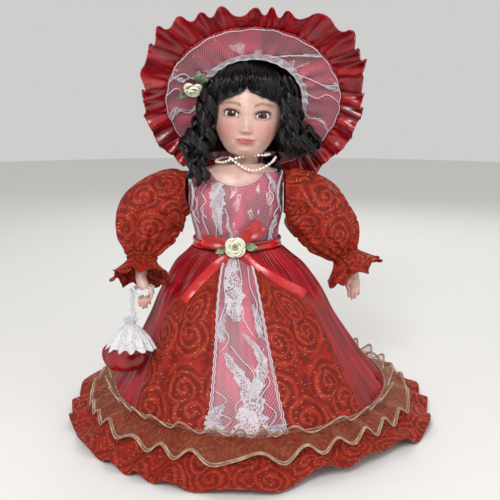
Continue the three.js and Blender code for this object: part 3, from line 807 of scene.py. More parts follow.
def lacePatch(surface, stem, wide, out, count=90):
    # a dense lace motif on a surface(a, z, out), along a stem of (angle, height, share of the width)
    def point(u, v):
        a, z, share = spline(stem, v)
        f = (u - 0.5) * wide * share * (1 + 0.16 * sin(33 * v + 2 * u) + 0.10 * sin(71 * v))
        return surface(
            a + degrees(f / 60), z + 1.2 * sin(9 * u + 3) * share, out + 0.15 * sin(30 * u + 50 * v),
        )

    return sheetFrom("patch", point, 16, count, (wide, 40), thick=0.2)


def makePanelLace():
    # lace over the front panel: selvedges, a dense spray below the waist and a branching one above the hem
    half = skirt["panelHalf"]
    lines = []
    for sign in (-1, 1):
        for inset in (0.3, 1.2):
            lines.append(
                [
                    skirtPoint(
                        sign * (half - inset + 0.25 * sin(k * 1.1)), lerp(31, 170, k / 120), 1.6,
                    ) for k in range(121)
                ]
            )
    motifs = [
        ([(-4, 169, 0.5), (-5, 156, 0.9), (-3, 142, 1.0), (-4, 128, 0.75), (-2, 118, 0.3)], 14),
        ([(1, 31, 0.9), (2, 44, 0.7), (3, 58, 0.55), (0, 70, 0.45), (-5, 82, 0.35), (-9, 92, 0.2)], 17),
        ([(3, 58, 0.4), (7, 70, 0.45), (10, 84, 0.4), (7, 98, 0.3), (1, 108, 0.2)], 14),
        (
            [(-12, 34, 0.7), (-13, 44, 0.5), (-10, 52, 0.3)], 12,
        ), ([(8, 33, 0.3), (11, 37, 0.5), (14, 38, 0.3)], 14),
        (
            [(-11, 100, 0.3), (-12, 112, 0.5), (-10, 124, 0.3)], 10,
        ), ([(11, 104, 0.3), (11, 120, 0.5), (9, 132, 0.2)], 9),
    ]
    place(
        joined("panelLaceMotifs", [lacePatch(skirtPoint, stem, wide, 1.5) for stem, wide in motifs]),
        laceTrim, "torso",
    )
    stems = [
        [
            (-8, 168), (-11, 150), (-9, 134), (-12, 118), (-7, 104), (-12, 92),
        ], [(1, 168), (3, 150), (0, 134), (3, 118), (7, 106)],
        [
            (-6, 98), (-1, 88), (5, 76), (2, 62), (-4, 52), (-1, 38),
        ], [(12, 96), (8, 84), (12, 70), (7, 58), (12, 46), (8, 36)],
        [(-13, 62), (-8, 56), (-12, 48), (-6, 42), (-10, 34)], [(10, 160), (9, 146), (12, 132), (9, 118)],
    ]
    lines += [onSkirt(stem, 1.9) for stem in stems]
    place(cords("panelLaceCords", lines, [0.55] * 4 + [0.5] * len(stems), sides=6), laceCord, "torso")


def flatRibbon(name, middle, width, material, body, normalOf, sag=0.0):
    # a ribbon along a line of points; normalOf(k) is the cloth's outward side at point k
    rows = []
    for k, p in enumerate(middle):
        ahead = middle[min(k + 1, len(middle) - 1)] - middle[max(k - 1, 0)]
        out = normalOf(k)
        across = ahead.cross(out).normalized()
        w = width(k / (len(middle) - 1)) if callable(width) else width
        row = []
        for s in range(9):
            f = s / 8 - 0.5
            curl = sag * (1 - 4 * f * f) + 0.25 * sin(9 * k / len(middle) + f * 3)
            row.append(p + across * (f * w) + out * curl)
        rows.append(row)
    reach = sum((b - a).length for a, b in zip(middle, middle[1:]))
    obj = meshFrom(name, *gridData(rows, size=(width(0.5) if callable(width) else width, reach)))
    thicken(obj, 0.35)
    place(obj, material, body)
    return obj


def makeTails():
    tails = {
        "sashTail_right": [(-4, 172), (-9, 168), (-22, 160), (-32, 147), (-38, 136), (-41, 131)],
        "sashTail_left": [(3, 172), (8, 168), (20, 158), (36, 146), (48, 137), (52, 133)],
    }
    for name, line in tails.items():
        points = [spline(line, k / 40) for k in range(41)]
        middle = [skirtPoint(a, z, 3.2 + 0.8 * sin(k * 0.25)) for k, (a, z) in enumerate(points)]

        def outward(k, pts=points):
            a, z = pts[k]
            base, far = skirtPoint(a, z), skirtPoint(a, z, 6)
            return (far - base).normalized()

        flatRibbon(name, middle, lambda t: 11.5 - 1.6 * sin(pi * t), sashRed, "torso", outward, 0.8)


hem = {"waves": 23, "inner": (133.5, 31.0), "outer": (184, 3.4), "swell": 5.2, "ruffleWaves": 29}


def hemWave(angle, waves, seed):
    a = angle / 360
    ring = ringAt(turn * a)
    slow = noise.noise(ring * 1.7 + Vector((seed, 0, 0)))
    return sin(turn * (a * waves + 1.1 * slow)) * (
        0.75 + 0.5 * noise.noise(ring * 4 + Vector((0, seed, 0)))
    )


def makeHem():
    # the gathered brocade flounce, cut a little shorter to the left of the front
    def point(u, v):
        angle = 360 * u
        t = 1 - v
        lift = smooth(5, 18, angle) * smooth(62, 46, angle)
        wave = hemWave(angle, hem["waves"], 2.0)
        r = lerp(hem["inner"][0], hem["outer"][0] - 12 * lift, t ** 0.92)
        z = lerp(hem["inner"][1], hem["outer"][1] + 5 * lift, t ** 0.8)
        gather = 0.7 * sin(radians(angle) * 130) * (1 - t) ** 2
        z += (hem["swell"] * (wave + 0.55) * t ** 1.2 + gather + 1.8 * lift * t)
        z = max(z, 0.9)
        r += 2.2 * wave * t * (1 - 0.5 * lift) + 1.3 * hemWave(angle, 57, 5.0) * t * (1.15 - t)
        z += 1.5 * sin(3.1 * sin(radians(angle) * 11) + radians(angle) * 47) * t * (1 - t) * 2
        a = radians(angle)
        return around(a, r, r, 0, 0, z)

    clothPiece("hemFlounce", point, (720, 34), (1240, 62), brocade, "torso", "hem_flounce",
               held="gathered", restsOn="petticoat", closed=True, flip=True, thick=0.7)
    edge = edgeOf(point, 0.0, 720)
    place(cords("hemPiping", [edge], 0.8, sides=6, closed=True), brocade, "torso")


# (radius, height) of the gathers and of both edges, and how far the edges swing up and down
organzaFrill = {
    "gathers": (139.4, 33.6), "lower": (164.5, 21.0), "upper": (146.5, 40.0),
    "lowerSwing": 7.2, "upperSwing": 6.2, "edgeBand": 0.045,
}


def makeOrganza():
    # a double frill gathered on its middle line, with corded wavy edges
    def point(u, v):
        angle = 360 * u
        a = radians(angle)
        up = 2 * v - 1  # -1 at the lower edge, 0 on the gathers, 1 at the upper edge
        reach = abs(up) ** 0.85
        low = hemWave(angle, hem["ruffleWaves"], 7.0)
        high = hemWave(angle + 6, hem["ruffleWaves"] + 4, 12.0)
        right = smooth(-100, -60, angle if angle < 180 else angle - 360)
        r0, z0 = organzaFrill["gathers"]
        if up < 0:
            lift = smooth(5, 18, angle) * smooth(66, 48, angle)
            r1, z1 = organzaFrill["lower"]
            r = lerp(r0, r1 - 3 * lift, reach) - 1.6 * low * reach
            z = lerp(z0, z1 + 4.2 * lift, reach) + organzaFrill["lowerSwing"] * (low + 0.2) * reach
        else:
            r1, z1 = organzaFrill["upper"]
            r = lerp(r0, r1, reach) + 3.6 * high * reach
            z = lerp(z0, z1 - 1.5 * right, reach) + organzaFrill["upperSwing"] * high * reach
        pinch = (1 - reach) ** 2 * 0.9 * sin(a * 170)
        return around(a, r + pinch, r + pinch, 0, 0, z)

    clothPiece("organzaRuffle", point, (900, 30), (1500, 48), organza, "torso", "organza_ruffle",
               held="gathered", restsOn="hemFlounce", closed=True, flip=True, thick=0.25)
    lines = [
        edgeOf(point, v, 900) for v in (0.0, organzaFrill["edgeBand"], 1 - organzaFrill["edgeBand"], 1.0)
    ]
    place(cords("organzaCords", lines, 0.78, sides=6, closed=True), goldEdge, "torso")
    middle = [p + Vector((0, 0, 0.4)) for p in edgeOf(point, 0.5, 360)]
    place(cords("gatherThread", [middle], 0.45, sides=5, closed=True), goldEdge, "torso")


petticoat = {
    "rings": [(8, 122.5), (12, 121), (30, 120.4), (102, 83.9), (130, 70.9), (153, 55.9), (164, 46)],
    "bottom": 9.5, "top": 163.5, "frillWaves": 46, "frillBottom": 3.4, "frillTop": 11,
}


def makePetticoat():

    def point(u, v):
        z = lerp(petticoat["bottom"], petticoat["top"], v)
        a = turn * u
        r = table(petticoat["rings"], z) + 0.6 * sin(40 * a) * smooth(0.25, 0, v)
        squash = squashAt(z)
        return around(a, r, r * squash, skirt["lean"] * z, 0, z)

    clothPiece("petticoatCloth", point, (260, 60), (760, 158), cotton, "torso", "petticoat",
               held="gathered", restsOn="pantaloon_seat", closed=True, flip=True, thick=0.5)

    def frill(u, v):
        a = turn * u
        waves = petticoat["frillWaves"]
        r = petticoat["rings"][0][1] + 3.5 * (1 - v) + 2.2 * sin(waves * a) * (1 - v)
        z = lerp(petticoat["frillBottom"] + 1.1 * cos(2 * waves * a), petticoat["frillTop"], v)
        return around(a, r, r, -0.6, 0, z)

    clothPiece("petticoatLace", frill, (552, 8), (1200, 9), whiteLace, "torso",
               held="gathered", restsOn="petticoatCloth", closed=True, flip=True, thick=0.3)


makeGown()
makePanelLace()
makeTails()
makeHem()
makeOrganza()
makePetticoat()
print("gown ready")

# the bodice and the things sewn to it
bodice = {
    "rows": [
        (173.5, 41, 30, -13, 0), (186, 41.5, 31, -13.5, 0), (207, 45.7, 33.6, -14, 0),
        (224, 46.2, 33.4, -14, 0),
        (232, 46.2, 31.6, -14, 0), (240, 43.8, 29.6, -13.5, 0), (247, 38, 26.2, -12, 0.5),
    ],
    "neckCentre": (-12, -30, 262), "neckRadii": (31, 30, 27),
}


def bodicePoint(angle, z, out=0.0):
    # angle in degrees from the front, towards the left hand
    rx, ry, x, y = columnsAt(bodice["rows"], z)
    a = radians(angle)
    return around(a, rx + out, ry + out, x, y, z)


def neckHeight(angle):
    # how high the bodice reaches under the scooped neckline
    x0, y0, z0 = bodice["neckCentre"]
    rx, ry, rz = bodice["neckRadii"]
    z = 247.0
    while z > 225:
        p = bodicePoint(angle, z)
        if ((p.x - x0) / rx) ** 2 + ((p.y - y0) / ry) ** 2 + ((z - z0) / rz) ** 2 > 1:
            return z
        z -= 0.25
    return z


def makeBodice():
    tops = [neckHeight(k) for k in range(-180, 181)]

    def topAt(angle):
        s = angle + 180
        k = int(clamp(s, 0, 359))
        return lerp(tops[k], tops[k + 1], s - k)

    def point(u, v):
        angle = 360 * u - 180
        z = lerp(173.8, topAt(angle), v)
        gather = 0.5 * sin(angle * 1.3) * smooth(0.35, 0, v) * smooth(25, 60, abs(angle))
        bust = 1.6 * (bell(angle - 30, 20) + bell(angle + 30, 20)) * bell(z - 220, 14)
        seam = -0.5 * (bell(angle - 42, 1.2) + bell(angle + 42, 1.2))
        crease = 0.7 * wobble(angle * 0.06, z * 0.09)
        return bodicePoint(angle, z, 0.3 + gather + bust + seam + crease)

    clothPiece("bodiceCloth", point, (361, 80), (270, 74), roseNet, "torso", "bodice",
               held="stretched", restsOn="shoulder_plate", thick=0.6)

    neckline = [bodicePoint(a, topAt(a), 0.9) + Vector((0, 0, 0.3)) for a in range(-178, 179, 2)]
    armholes = []
    for sign in (-1, 1):
        for ring in (21.5, 24.0):
            loop = []
            for k in range(49):
                t = radians(lerp(-100, 200, k / 48))
                y, z = ring * cos(t), 226 + ring * sin(t) * 0.86
                wave = 0.8 * sin(k * 1.6)
                x = -14 + sign * (45.5 - 0.010 * (y * y) + 0.6)
                if z < 246:
                    loop.append(Vector((x + sign * wave * 0.3, -y, z + wave)))
            if len(loop) > 3:
                armholes.append(loop)
    stems = [
        [
            (-50, 236), (-56, 226), (-50, 216), (-58, 206), (-50, 198),
        ], [(-36, 236), (-42, 228), (-36, 220), (-44, 212), (-36, 204)],
        [(-40, 214), (-42, 200), (-38, 188), (-40, 178)], [
            (-12, 214), (-8, 204), (-11, 196), (-4, 188), (-6, 178),
        ],
        [(-28, 206), (-24, 196), (-26, 186), (-22, 178)], [
            (62, 214), (52, 206), (60, 196), (48, 190), (56, 180),
        ],
        [(48, 242), (42, 232), (50, 224), (44, 216)],
    ]
    lines = [[bodicePoint(*spline(stem, k / 50), 1.9) for k in range(51)] for stem in stems]
    motifs = [
        (
            [
                (-21, 238, 0.8), (-21, 228, 1.0), (-21, 218, 0.95), (-21, 208, 0.7), (-20, 198, 0.4),
                (-19, 188, 0.25),
            ],
            19,
        ),
        ([(-10, 206, 0.2), (-8, 196, 0.4), (-5, 186, 0.5), (-3, 180, 0.6)], 10),
        ([(-62, 214, 0.4), (-60, 202, 0.6), (-56, 190, 0.5), (-54, 180, 0.4)], 11),
        (
            [(58, 206, 0.4), (52, 196, 0.7), (50, 186, 0.6), (46, 178, 0.4)], 13,
        ), ([(44, 246, 0.5), (50, 236, 0.7), (56, 226, 0.5)], 12),
    ]
    place(
        joined("bodiceLaceMotifs", [lacePatch(bodicePoint, stem, wide, 2.0) for stem, wide in motifs]),
        laceTrim, "torso",
    )
    parts = [neckline] + armholes + lines
    place(
        cords("bodiceLaceCords", parts, [0.45] + [0.55] * (len(armholes) + len(lines)), sides=6), laceCord,
        "torso",
    )


def rose(name, centre, facing, radius, material, body, *nodes, seed=1):
    # a folded-ribbon rose: a rolled bud inside three rounds of turned-back petals
    random.seed(seed)
    facing = Vector(facing).normalized()
    sideways = facing.orthogonal().normalized()
    upward = facing.cross(sideways)
    centre = Vector(centre)
    parts = []

    def spot(r, a, h):
        return centre + sideways * (r * cos(a)) + upward * (r * sin(a)) + facing * h

    def bud(u, v):
        a = turn * 2.3 * u
        r = radius * (0.06 + 0.26 * u) * (0.72 + 0.35 * v)
        return spot(r, a, radius * (0.05 + 0.62 * v - 0.10 * u))

    parts.append(sheetFrom("petal", bud, 60, 8, (radius * 4, radius * 0.6), thick=0.3))
    for ringIndex, (count, reach, height) in enumerate(((3, 0.52, 0.62), (3, 0.78, 0.46), (4, 1.0, 0.2))):
        for k in range(count):
            middle = turn * (k + 0.5 * ringIndex) / count + random.uniform(-0.15, 0.15)
            spread = turn / count * 1.22
            lift = random.uniform(-0.04, 0.05)

            def petal(u, v, m=middle, s=spread, q=reach, h=height + lift):
                a = m + s * (u - 0.5) * (1 - 0.15 * v)
                curve = 1 - (2 * u - 1) ** 2
                r = radius * q * (0.45 + 0.55 * v * (0.72 + 0.28 * curve))
                up = radius * (h * sin(min(1.0, v * 1.25) * pi * 0.5) - 0.22 * smooth(0.75, 1, v) * curve)
                return spot(r, a, up)

            parts.append(sheetFrom("petal", petal, 21, 12, (radius * 1.1, radius * 0.9), thick=0.28))
    return place(joined(name, parts), material, body, *nodes)


def leafShape(start, tip, outward, width, cup=0.25):
    start, tip, outward = Vector(start), Vector(tip), Vector(outward).normalized()
    along = tip - start
    across = along.cross(outward).normalized()

    def point(u, v):
        half = width * 0.5 * sin(pi * clamp(v * 0.94 + 0.04)) ** 0.7
        f = 2 * u - 1
        lift = -cup * half * (1 - abs(f)) + 0.08 * along.length * sin(pi * v) + 0.25 * sin(16 * v + 3 * f)
        return start + along * v + across * (f * half) + outward * lift

    return sheetFrom("leaf", point, 11, 20, (width, along.length), thick=0.3)


sash = {"centre": -13, "wide": 43.7, "deep": 33.1, "bottom": 172.4, "top": 180.8}


def makeSash():
    def point(u, v):
        angle = 360 * u
        z = lerp(sash["bottom"], sash["top"], v)
        fold = 0.5 * sin(v * 9 + 1.5 * wobble(u * 9, v))
        a = radians(angle)
        return around(a, sash["wide"] + fold, sash["deep"] + fold, sash["centre"], 0, z)

    clothPiece("sashCloth", point, (240, 22), (245, 16), sashRed, "torso", "sash_band",
               held="stretched", restsOn="bodiceCloth", closed=True, flip=True, thick=0.5)

    def loop(name, start, tip, width, belly):
        start, tip = Vector(start), Vector(tip)
        along = tip - start
        out = Vector((0, -1, 0.1)).normalized()
        across = along.cross(out).normalized()

        def rim(u, v):
            t = turn * v
            reach = 0.5 - 0.5 * cos(t)
            depth = sin(t) * belly * sin(pi * min(1, reach * 0.9 + 0.1))
            w = width * (0.28 + 0.72 * smooth(0, 0.6, reach))
            f = u - 0.5
            return start + along * reach + across * (f * w) + out * (depth - 0.8 * cos(6.3 * f) * reach)

        made = sheetFrom(name, rim, 15, 64, (width, 2 * along.length), thick=0.35)
        place(made, sashRed, "torso")
        return made

    first = loop("bowLoop_left", (-10, -39, 180), (11, -37, 199), 14, 3.6)
    loop("bowLoop_right", (-18, -39, 179), (-46, -34.5, 184), 11, 3.0)
    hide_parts("sash_bow")
    rose("waistRose", (-14, -41.5, 177.6), (0.0, -1, 0.12), 10.5, roseRibbon, "torso", "waist_rose", seed=3)
    leaves = [
        leafShape((-5, -41, 180), (7, -38, 175.5), (0, -1, 0.1), 8.0),
        leafShape((-22, -41, 177), (-33, -38.5, 172), (0, -1, 0.1), 7.0, 0.6),
        leafShape((-21, -40.5, 174), (-30, -39, 168), (0, -1, 0.2), 5.0, 0.7),
    ]
    place(joined("waistLeaves", leaves), leafRibbon, "torso", "waist_leaves")


necklace = {
    "pearl": 1.35,
    "choker": [
        (-33, -8, 256), (-26, -17, 256.5), (-17, -21.5, 259.5), (-6, -18, 262), (6, -17, 263),
        (14, -15, 263), (19, -4, 263),
    ],
    "lower": [
        (-19, -21, 260.5), (-13, -25, 256.5), (-4, -28.2, 251.2), (4, -28.6, 249.8), (13, -25, 252),
        (21, -18, 256.5), (25, -5, 260),
    ],
    "back": [(19, -4, 263), (17, 14, 263), (4, 24, 261), (-12, 25, 259), (-27, 14, 258), (-33, -6, 257)],
}


def makeNecklace():
    # small pearls on a thread, in a choker and a lower strand that cross at the side
    spots, threads = [], []
    for part, count in (("choker", 19), ("lower", 18), ("back", 26)):
        line = necklace[part]
        path = evenPath(line, count)
        spots += path
        threads.append(evenPath(line, count * 3))
    made = beads(
        "necklacePearls", spots, [necklace["pearl"] + 0.1 * sin(k * 2.1) for k in range(len(spots))],
    )
    place(made, pearl, "torso", "pearl_necklace")
    place(cords("necklaceThread", threads, 0.35, sides=5), cotton, "torso", slotName="pearl")


makeBodice()
makeSash()
makeNecklace()
print("bodice and sash ready")

# arms: forearm and hand, puffed sleeve, gathered cuff; each follows its arm's bent line
arms = {
    "left": [(34.5, 0, 226), (50, 0, 222), (67, 0, 205), (85, -1, 180), (99, -2, 157), (105, -3, 146)],
    "right": [
        (-62.5, 0, 226), (-78, -2, 221), (-96, -9, 205), (-104, -20, 182), (-105, -33, 160),
        (-105, -40, 149),
    ],
    "puff": [(0, 20.5), (0.12, 25.5), (0.25, 31.0), (0.45, 31.2), (0.66, 25.5), (0.83, 13.2)],
    "cuff": [(0.80, 12.6), (0.86, 14.4), (0.93, 20.0), (1.0, 27.0)],
}


def armFrames(side, count):
    # evenly spaced centres with their front, side and along directions
    path = evenPath(arms[side], count)
    out = []
    for k, p in enumerate(path):
        along = (path[min(k + 1, count - 1)] - path[max(k - 1, 0)]).normalized()
        if k == 0:
            along = Vector((1 if side == "left" else -1, 0, 0))
        front = Vector((0, 1, 0)) - along * along.y
        front.normalize()
        out.append((p, front, along.cross(front), along))
    return out


def sleeveAt(frames, t, a, r):
    s = clamp(t) * (len(frames) - 1)
    k = min(int(s), len(frames) - 2)
    f = s - k
    p = frames[k][0].lerp(frames[k + 1][0], f)
    front = frames[k][1].lerp(frames[k + 1][1], f)
    side = frames[k][2].lerp(frames[k + 1][2], f)
    return p + front * (r * cos(a)) + side * (r * sin(a))


def makeSleeve(side):
    frames = armFrames(side, 61)
    seed = 3.0 if side == "left" else 9.0

    def puffPoint(u, v):
        t = 0.835 * v
        a = turn * u
        ring = ringAt(a)
        r = table(arms["puff"], t)
        top, bottom = smooth(0.30, 0.0, v), smooth(0.52, 1.0, v)
        phase = 2.4 * noise.noise(ring * 1.3 + Vector((seed, 0, v * 0.7)))
        gathers = sin(19 * a + 3 * phase) * (1.2 * top + 1.5 * bottom * (1 - smooth(0.97, 1, v)))
        lobes = 2.3 * sin(7 * a + 2.5 * phase + 1.6 * v) * (0.25 + 0.75 * smooth(0.25, 0.8, v))
        dents = 3.2 * noise.noise(ring * 1.9 + Vector((seed, 3.1, v * 3.4)))
        crease = 1.0 - abs(noise.noise(ring * 1.7 + Vector((v * 2.0 + seed, 0.7 * seed, v * 4.2)))) * 9
        dents -= 1.9 * max(0.0, crease) * smooth(0.05, 0.2, v)
        return sleeveAt(
            frames, t, a,
            r + (gathers + lobes * 0.8 + dents) * smooth(0, 0.05, v) * (1 - 0.7 * smooth(0.95, 1, v)),
        )

    clothPiece(f"puffSleeve_{side}", puffPoint, (320, 130), (205, 112), brocade, f"arm_{side}",
               f"puff_sleeve_{side}",
               held="gathered", restsOn=f"cloth_upper_arm_{side}", closed=True, thick=0.6)

    def cuffPoint(u, v):
        t = lerp(0.80, 1.0, v)
        a = turn * u
        ring = ringAt(a)
        r = table(arms["cuff"], t)
        phase = 1.6 * noise.noise(ring * 1.5 + Vector((seed, 7, 0)))
        wave = sin(7 * a + 2 * phase) + 0.3 * sin(16 * a)
        r += wave * 2.8 * v ** 1.3 + 0.6 * sin(23 * a + phase) * (1 - v)
        p = sleeveAt(frames, t, a, r)
        return p + frames[-1][3] * ((3.2 * sin(7 * a + 2 * phase + 1.2) + 1.6) * v ** 1.5)

    clothPiece(f"sleeveCuff_{side}", cuffPoint, (260, 40), (150, 34), brocade, f"arm_{side}",
               f"sleeve_cuff_{side}",
               held="gathered", restsOn=f"puffSleeve_{side}", closed=True, thick=0.6)
    hemLine = edgeOf(cuffPoint, 1.0, 260)
    binding = [sleeveAt(frames, 0.825, turn * k / 90, 14.0 + 0.3 * sin(k * 2.2)) for k in range(90)]
    place(
        cords(f"cuffPiping_{side}", [hemLine, binding], [0.65, 1.1], sides=6, closed=True), brocade,
        f"arm_{side}",
    )


def tubeSolid(points, radii):
    path = evenPath(points, 24)
    return cords(
        "limb", [path], lambda t: table([(k / (len(radii) - 1), r) for k, r in enumerate(radii)], t),
        sides=20,
    )


# the fingers' lengths and radii, from the first to the little one
hand = {"fingers": ((13.0, 1.75), (15.5, 1.85), (14.5, 1.8), (11.0, 1.6)), "apart": 3.0, "grain": 0.55}


def makeHand(side):
    # a slender forearm and hand: palm, four fingers held together and a thumb, melted into one skin
    frames = armFrames(side, 61)
    inward = -1 if side == "left" else 1
    wrist = Vector(arms[side][-1])
    reach = wrist + (Vector((0.5, -2, -13)) if side == "left" else Vector((4, -7, -13)))
    inner = [frames[k][0] for k in range(34, 61, 4)] + [wrist]
    parts = [tubeSolid(inner + [wrist + Vector((0, 0, -4))], [8.2, 8.8, 8.2, 7.2, 6.2, 5.6, 5.2])]
    parts.append(
        tubeSolid(
            [wrist + Vector((0, 0, -1)), wrist.lerp(reach, 0.5), reach, reach + Vector((0, -0.4, -4))],
            [5.0, 5.6, 6.0, 5.2],
        )
    )
    for v in parts[-1].data.vertices:  # a flat palm
        v.co.y = reach.y * mm + (v.co.y - reach.y * mm) * 0.72
    for k, (length, thick) in enumerate(hand["fingers"]):
        x = (k - 1.5) * hand["apart"]
        root = reach + Vector((x, -0.6 + 0.25 * (k - 1.5) ** 2, -2))
        bend = Vector((x * 0.08, -1.2 - 0.5 * k, -length * 0.5))
        tip = root + Vector((x * 0.10, -1.0 + 1.0 * k * 0.5, -length))
        parts.append(
            tubeSolid(
                [root + Vector((0, 0, 3)), root, root + bend, tip],
                [2.2, thick * 1.12, thick, thick * 0.9, thick * 0.62],
            )
        )
    thumbRoot = reach + Vector((inward * 4.6, -2.0, 5))
    parts.append(
        tubeSolid(
            [
                thumbRoot, thumbRoot + Vector((inward * 2.6, -2.4, -5)),
                thumbRoot + Vector((inward * 2.0, -3.4, -11)),
            ],
            [2.6, 2.3, 2.0, 1.3],
        )
    )
    skin = joined(f"porcelainArm_{side}", parts)
    melt = skin.modifiers.new("melt", "REMESH")
    melt.mode = "VOXEL"
    melt.voxel_size = hand["grain"] * mm
    melt.use_smooth_shade = True
    soften = skin.modifiers.new("soften", "SMOOTH")
    soften.iterations = 5
    settle(skin)
    paint(skin, "lips", lambda p: 0.0)
    paint(skin, "blush", lambda p: 0.30 * smooth(wrist.z - 14, wrist.z - 26, p.z))
    place(skin, bisque, f"arm_{side}", f"porcelain_forearm_{side}")


for side in ("left", "right"):
    makeSleeve(side)
    makeHand(side)
print("arms ready")

# head: one sculpted shell, seen from the front along +y; places are from its own centre
head = {
    "pivot": (-8, 2, 253), "centre": (2, -2, 50), "roll": 4,
    "rows": [
        (-42, 6, 6, -9), (-40, 12, 12, -9), (-37, 17, 16.5, -8), (-28, 24, 26, -4),
        (-12, 31, 33.5, 0),
        (6, 33.5, 36, 1), (20, 31.5, 34.5, 1.5), (32, 23.5, 26.5, 2), (38.5, 13, 15, 2),
        (41.5, 3, 3.5, 2),
    ],
    "eyeX": 15.0, "eyeZ": -1.2, "eyeWide": 6.5, "eyeTall": 3.3, "browZ": 6.2,
    "ball": {"x": 12.2, "y": -21.4, "z": -1.5, "r": 9.5},
    "mouthZ": -25.0, "noseZ": -15.0, "chinZ": -35.5,
}
headTurn = Matrix.Rotation(radians(head["roll"]), 4, "Y")


def headPlace(p):
    # from the head's own centre to the doll's frame
    return Vector(head["pivot"]) + headTurn @ (Vector(p) + Vector(head["centre"]))


def faceRelief(x, z, facing):
    # how far the face stands out from the plain skull, in mm
    h = head
    nose = 3.5 * bell(x, 5.0) * smooth(4, -13.5, z) * smooth(-19.6, -16.0, z)
    tip = 2.7 * bell(hypot(x, (z + 14.6) * 0.95), 4.0)
    wings = 1.7 * (bell(x - 3.5, 2.1) + bell(x + 3.5, 2.1)) * bell(z - (h["noseZ"] - 1.4), 2.1)
    bridge = 1.0 * bell(x, 4.2) * bell(z - 1, 7)
    sockets = -2.2 * (bell(x - h["eyeX"], 8.2) + bell(x + h["eyeX"], 8.2)) * bell(z - h["eyeZ"] - 0.6, 5.6)
    lids = 1.1 * sum(bell(hypot((x - s * h["eyeX"]) / 1.55, z - h["eyeZ"]) - 4.6, 1.1) for s in (-1, 1))
    brow = 0.9 * (bell(x - 14, 9) + bell(x + 14, 9)) * bell(z - h["browZ"] - 1, 4)
    cheeks = 2.6 * (bell(x - 19, 10) + bell(x + 19, 10)) * bell(z + 16.5, 9.5)
    groove = -0.8 * bell(x, 1.3) * bell(z + 20.3, 2.2)
    t = clamp(abs(x) / 9.6)
    upperEdge = 2.5 * (1 - t * t) - 0.75 * bell(x, 1.5)
    lowerEdge = 3.5 * (1 - t ** 2.4)
    dz = z - h["mouthZ"] - 0.75 * t * t
    upper = 1.7 * bell(dz - upperEdge * 0.5, 1.15 + upperEdge * 0.25) * (1 - t ** 3)
    lower = 2.2 * bell(dz + lowerEdge * 0.52, 1.2 + lowerEdge * 0.28) * (1 - t ** 3)
    parting = -1.9 * bell(dz + 0.15, 0.55) * (1 - 0.6 * t ** 3) * smooth(10.6, 8.8, abs(x))
    mound = 1.6 * bell(x, 10) * bell(z - h["mouthZ"], 7)
    dimple = -0.7 * (bell(x - 10.4, 1.8) + bell(x + 10.4, 1.8)) * bell(z - h["mouthZ"], 2.4)
    under = -1.3 * bell(x, 7) * bell(z + 31.0, 2.3)
    chin = 2.6 * bell(x, 7.5) * bell(z - h["chinZ"] - 0.5, 4.2)
    middle = nose + tip + wings + bridge + sockets + lids + brow + cheeks + groove
    mouth = upper + lower + parting + mound + dimple + under + chin
    return facing * (middle + mouth)


def headPoint(a, z, lift=0.0):
    # on the face's surface: a in radians from straight ahead towards the left hand, z from the centre
    rx, ry, y = columnsAt(head["rows"], z)
    x0, y0 = rx * sin(a), y - ry * cos(a)
    facing = smooth(-0.05, 0.45, cos(a))
    relief = faceRelief(x0, z, facing) + lift
    out = Vector((x0 / rx * 0.55, -cos(a), 0)).normalized()
    p = Vector((x0, y0, z)) + out * relief
    ball = head["ball"]
    for side in (-1, 1):  # the lids lie close on the eyeball
        dx, dz = p.x - side * ball["x"], p.z - ball["z"]
        span = hypot((p.x - side * head["eyeX"]) / (head["eyeWide"] + 0.6), dz / (head["eyeTall"] + 1.0))
        inside = ball["r"] ** 2 - dx * dx - dz * dz
        if span < 1.5 and inside > 0 and y0 < 0:
            lid = ball["y"] - sqrt(inside) - 0.75 - lift
            p.y = lerp(p.y, lid, 0.9 * smooth(1.45, 0.95, span))
    return p


def facePoint(x, z, lift=0.0):
    # on the face at a given x and z from its centre
    rx = table([(r[0], r[1]) for r in head["rows"]], z)
    a = asin(clamp(x / rx, -0.98, 0.98))
    for _ in range(4):
        a += (x - headPoint(a, z, lift).x) / (rx * max(0.25, cos(a)))
    return headPoint(a, z, lift)


def lidShape(t, side, grow=0.0):
    # the almond opening of one eye, as x and z from the centre of the head
    w, up, down = head["eyeWide"] + grow, head["eyeTall"] + grow, head["eyeTall"] * 0.80 + grow
    x = w * cos(t)
    z = (up if sin(t) > 0 else down) * sin(t)
    z *= 1 - 0.18 * cos(t) * -1 if cos(t) > 0 else 1
    tilt = 0.05 * x
    return side * (head["eyeX"] + x), head["eyeZ"] + z + tilt


def openEyes(face):
    # cuts the two almond openings and draws their edges onto the lid lines
    bm = bmesh.new()
    bm.from_mesh(face.data)

    def lidAngle(p, side):
        x, z = (p.x / mm - side * head["eyeX"]) * side, p.z / mm - head["eyeZ"]
        z -= 0.05 * x
        tall = head["eyeTall"] if z > 0 else head["eyeTall"] * 0.80
        z /= 1 + 0.18 * clamp(x / head["eyeWide"])
        return atan2(z / tall, x / head["eyeWide"]), hypot(z / tall, x / head["eyeWide"])

    gone = []
    for f in bm.faces:
        middle = f.calc_center_median()
        if middle.y < -0.015 and lidAngle(middle, 1 if middle.x > 0 else -1)[1] < 1:
            gone.append(f)
    bmesh.ops.delete(bm, geom=gone, context="FACES")
    for v in bm.verts:
        if v.is_boundary and v.co.y < -0.015:
            side = 1 if v.co.x > 0 else -1
            x, z = lidShape(lidAngle(v.co, side)[0], side)
            v.co = facePoint(x, z) * mm
    bm.to_mesh(face.data)
    bm.free()


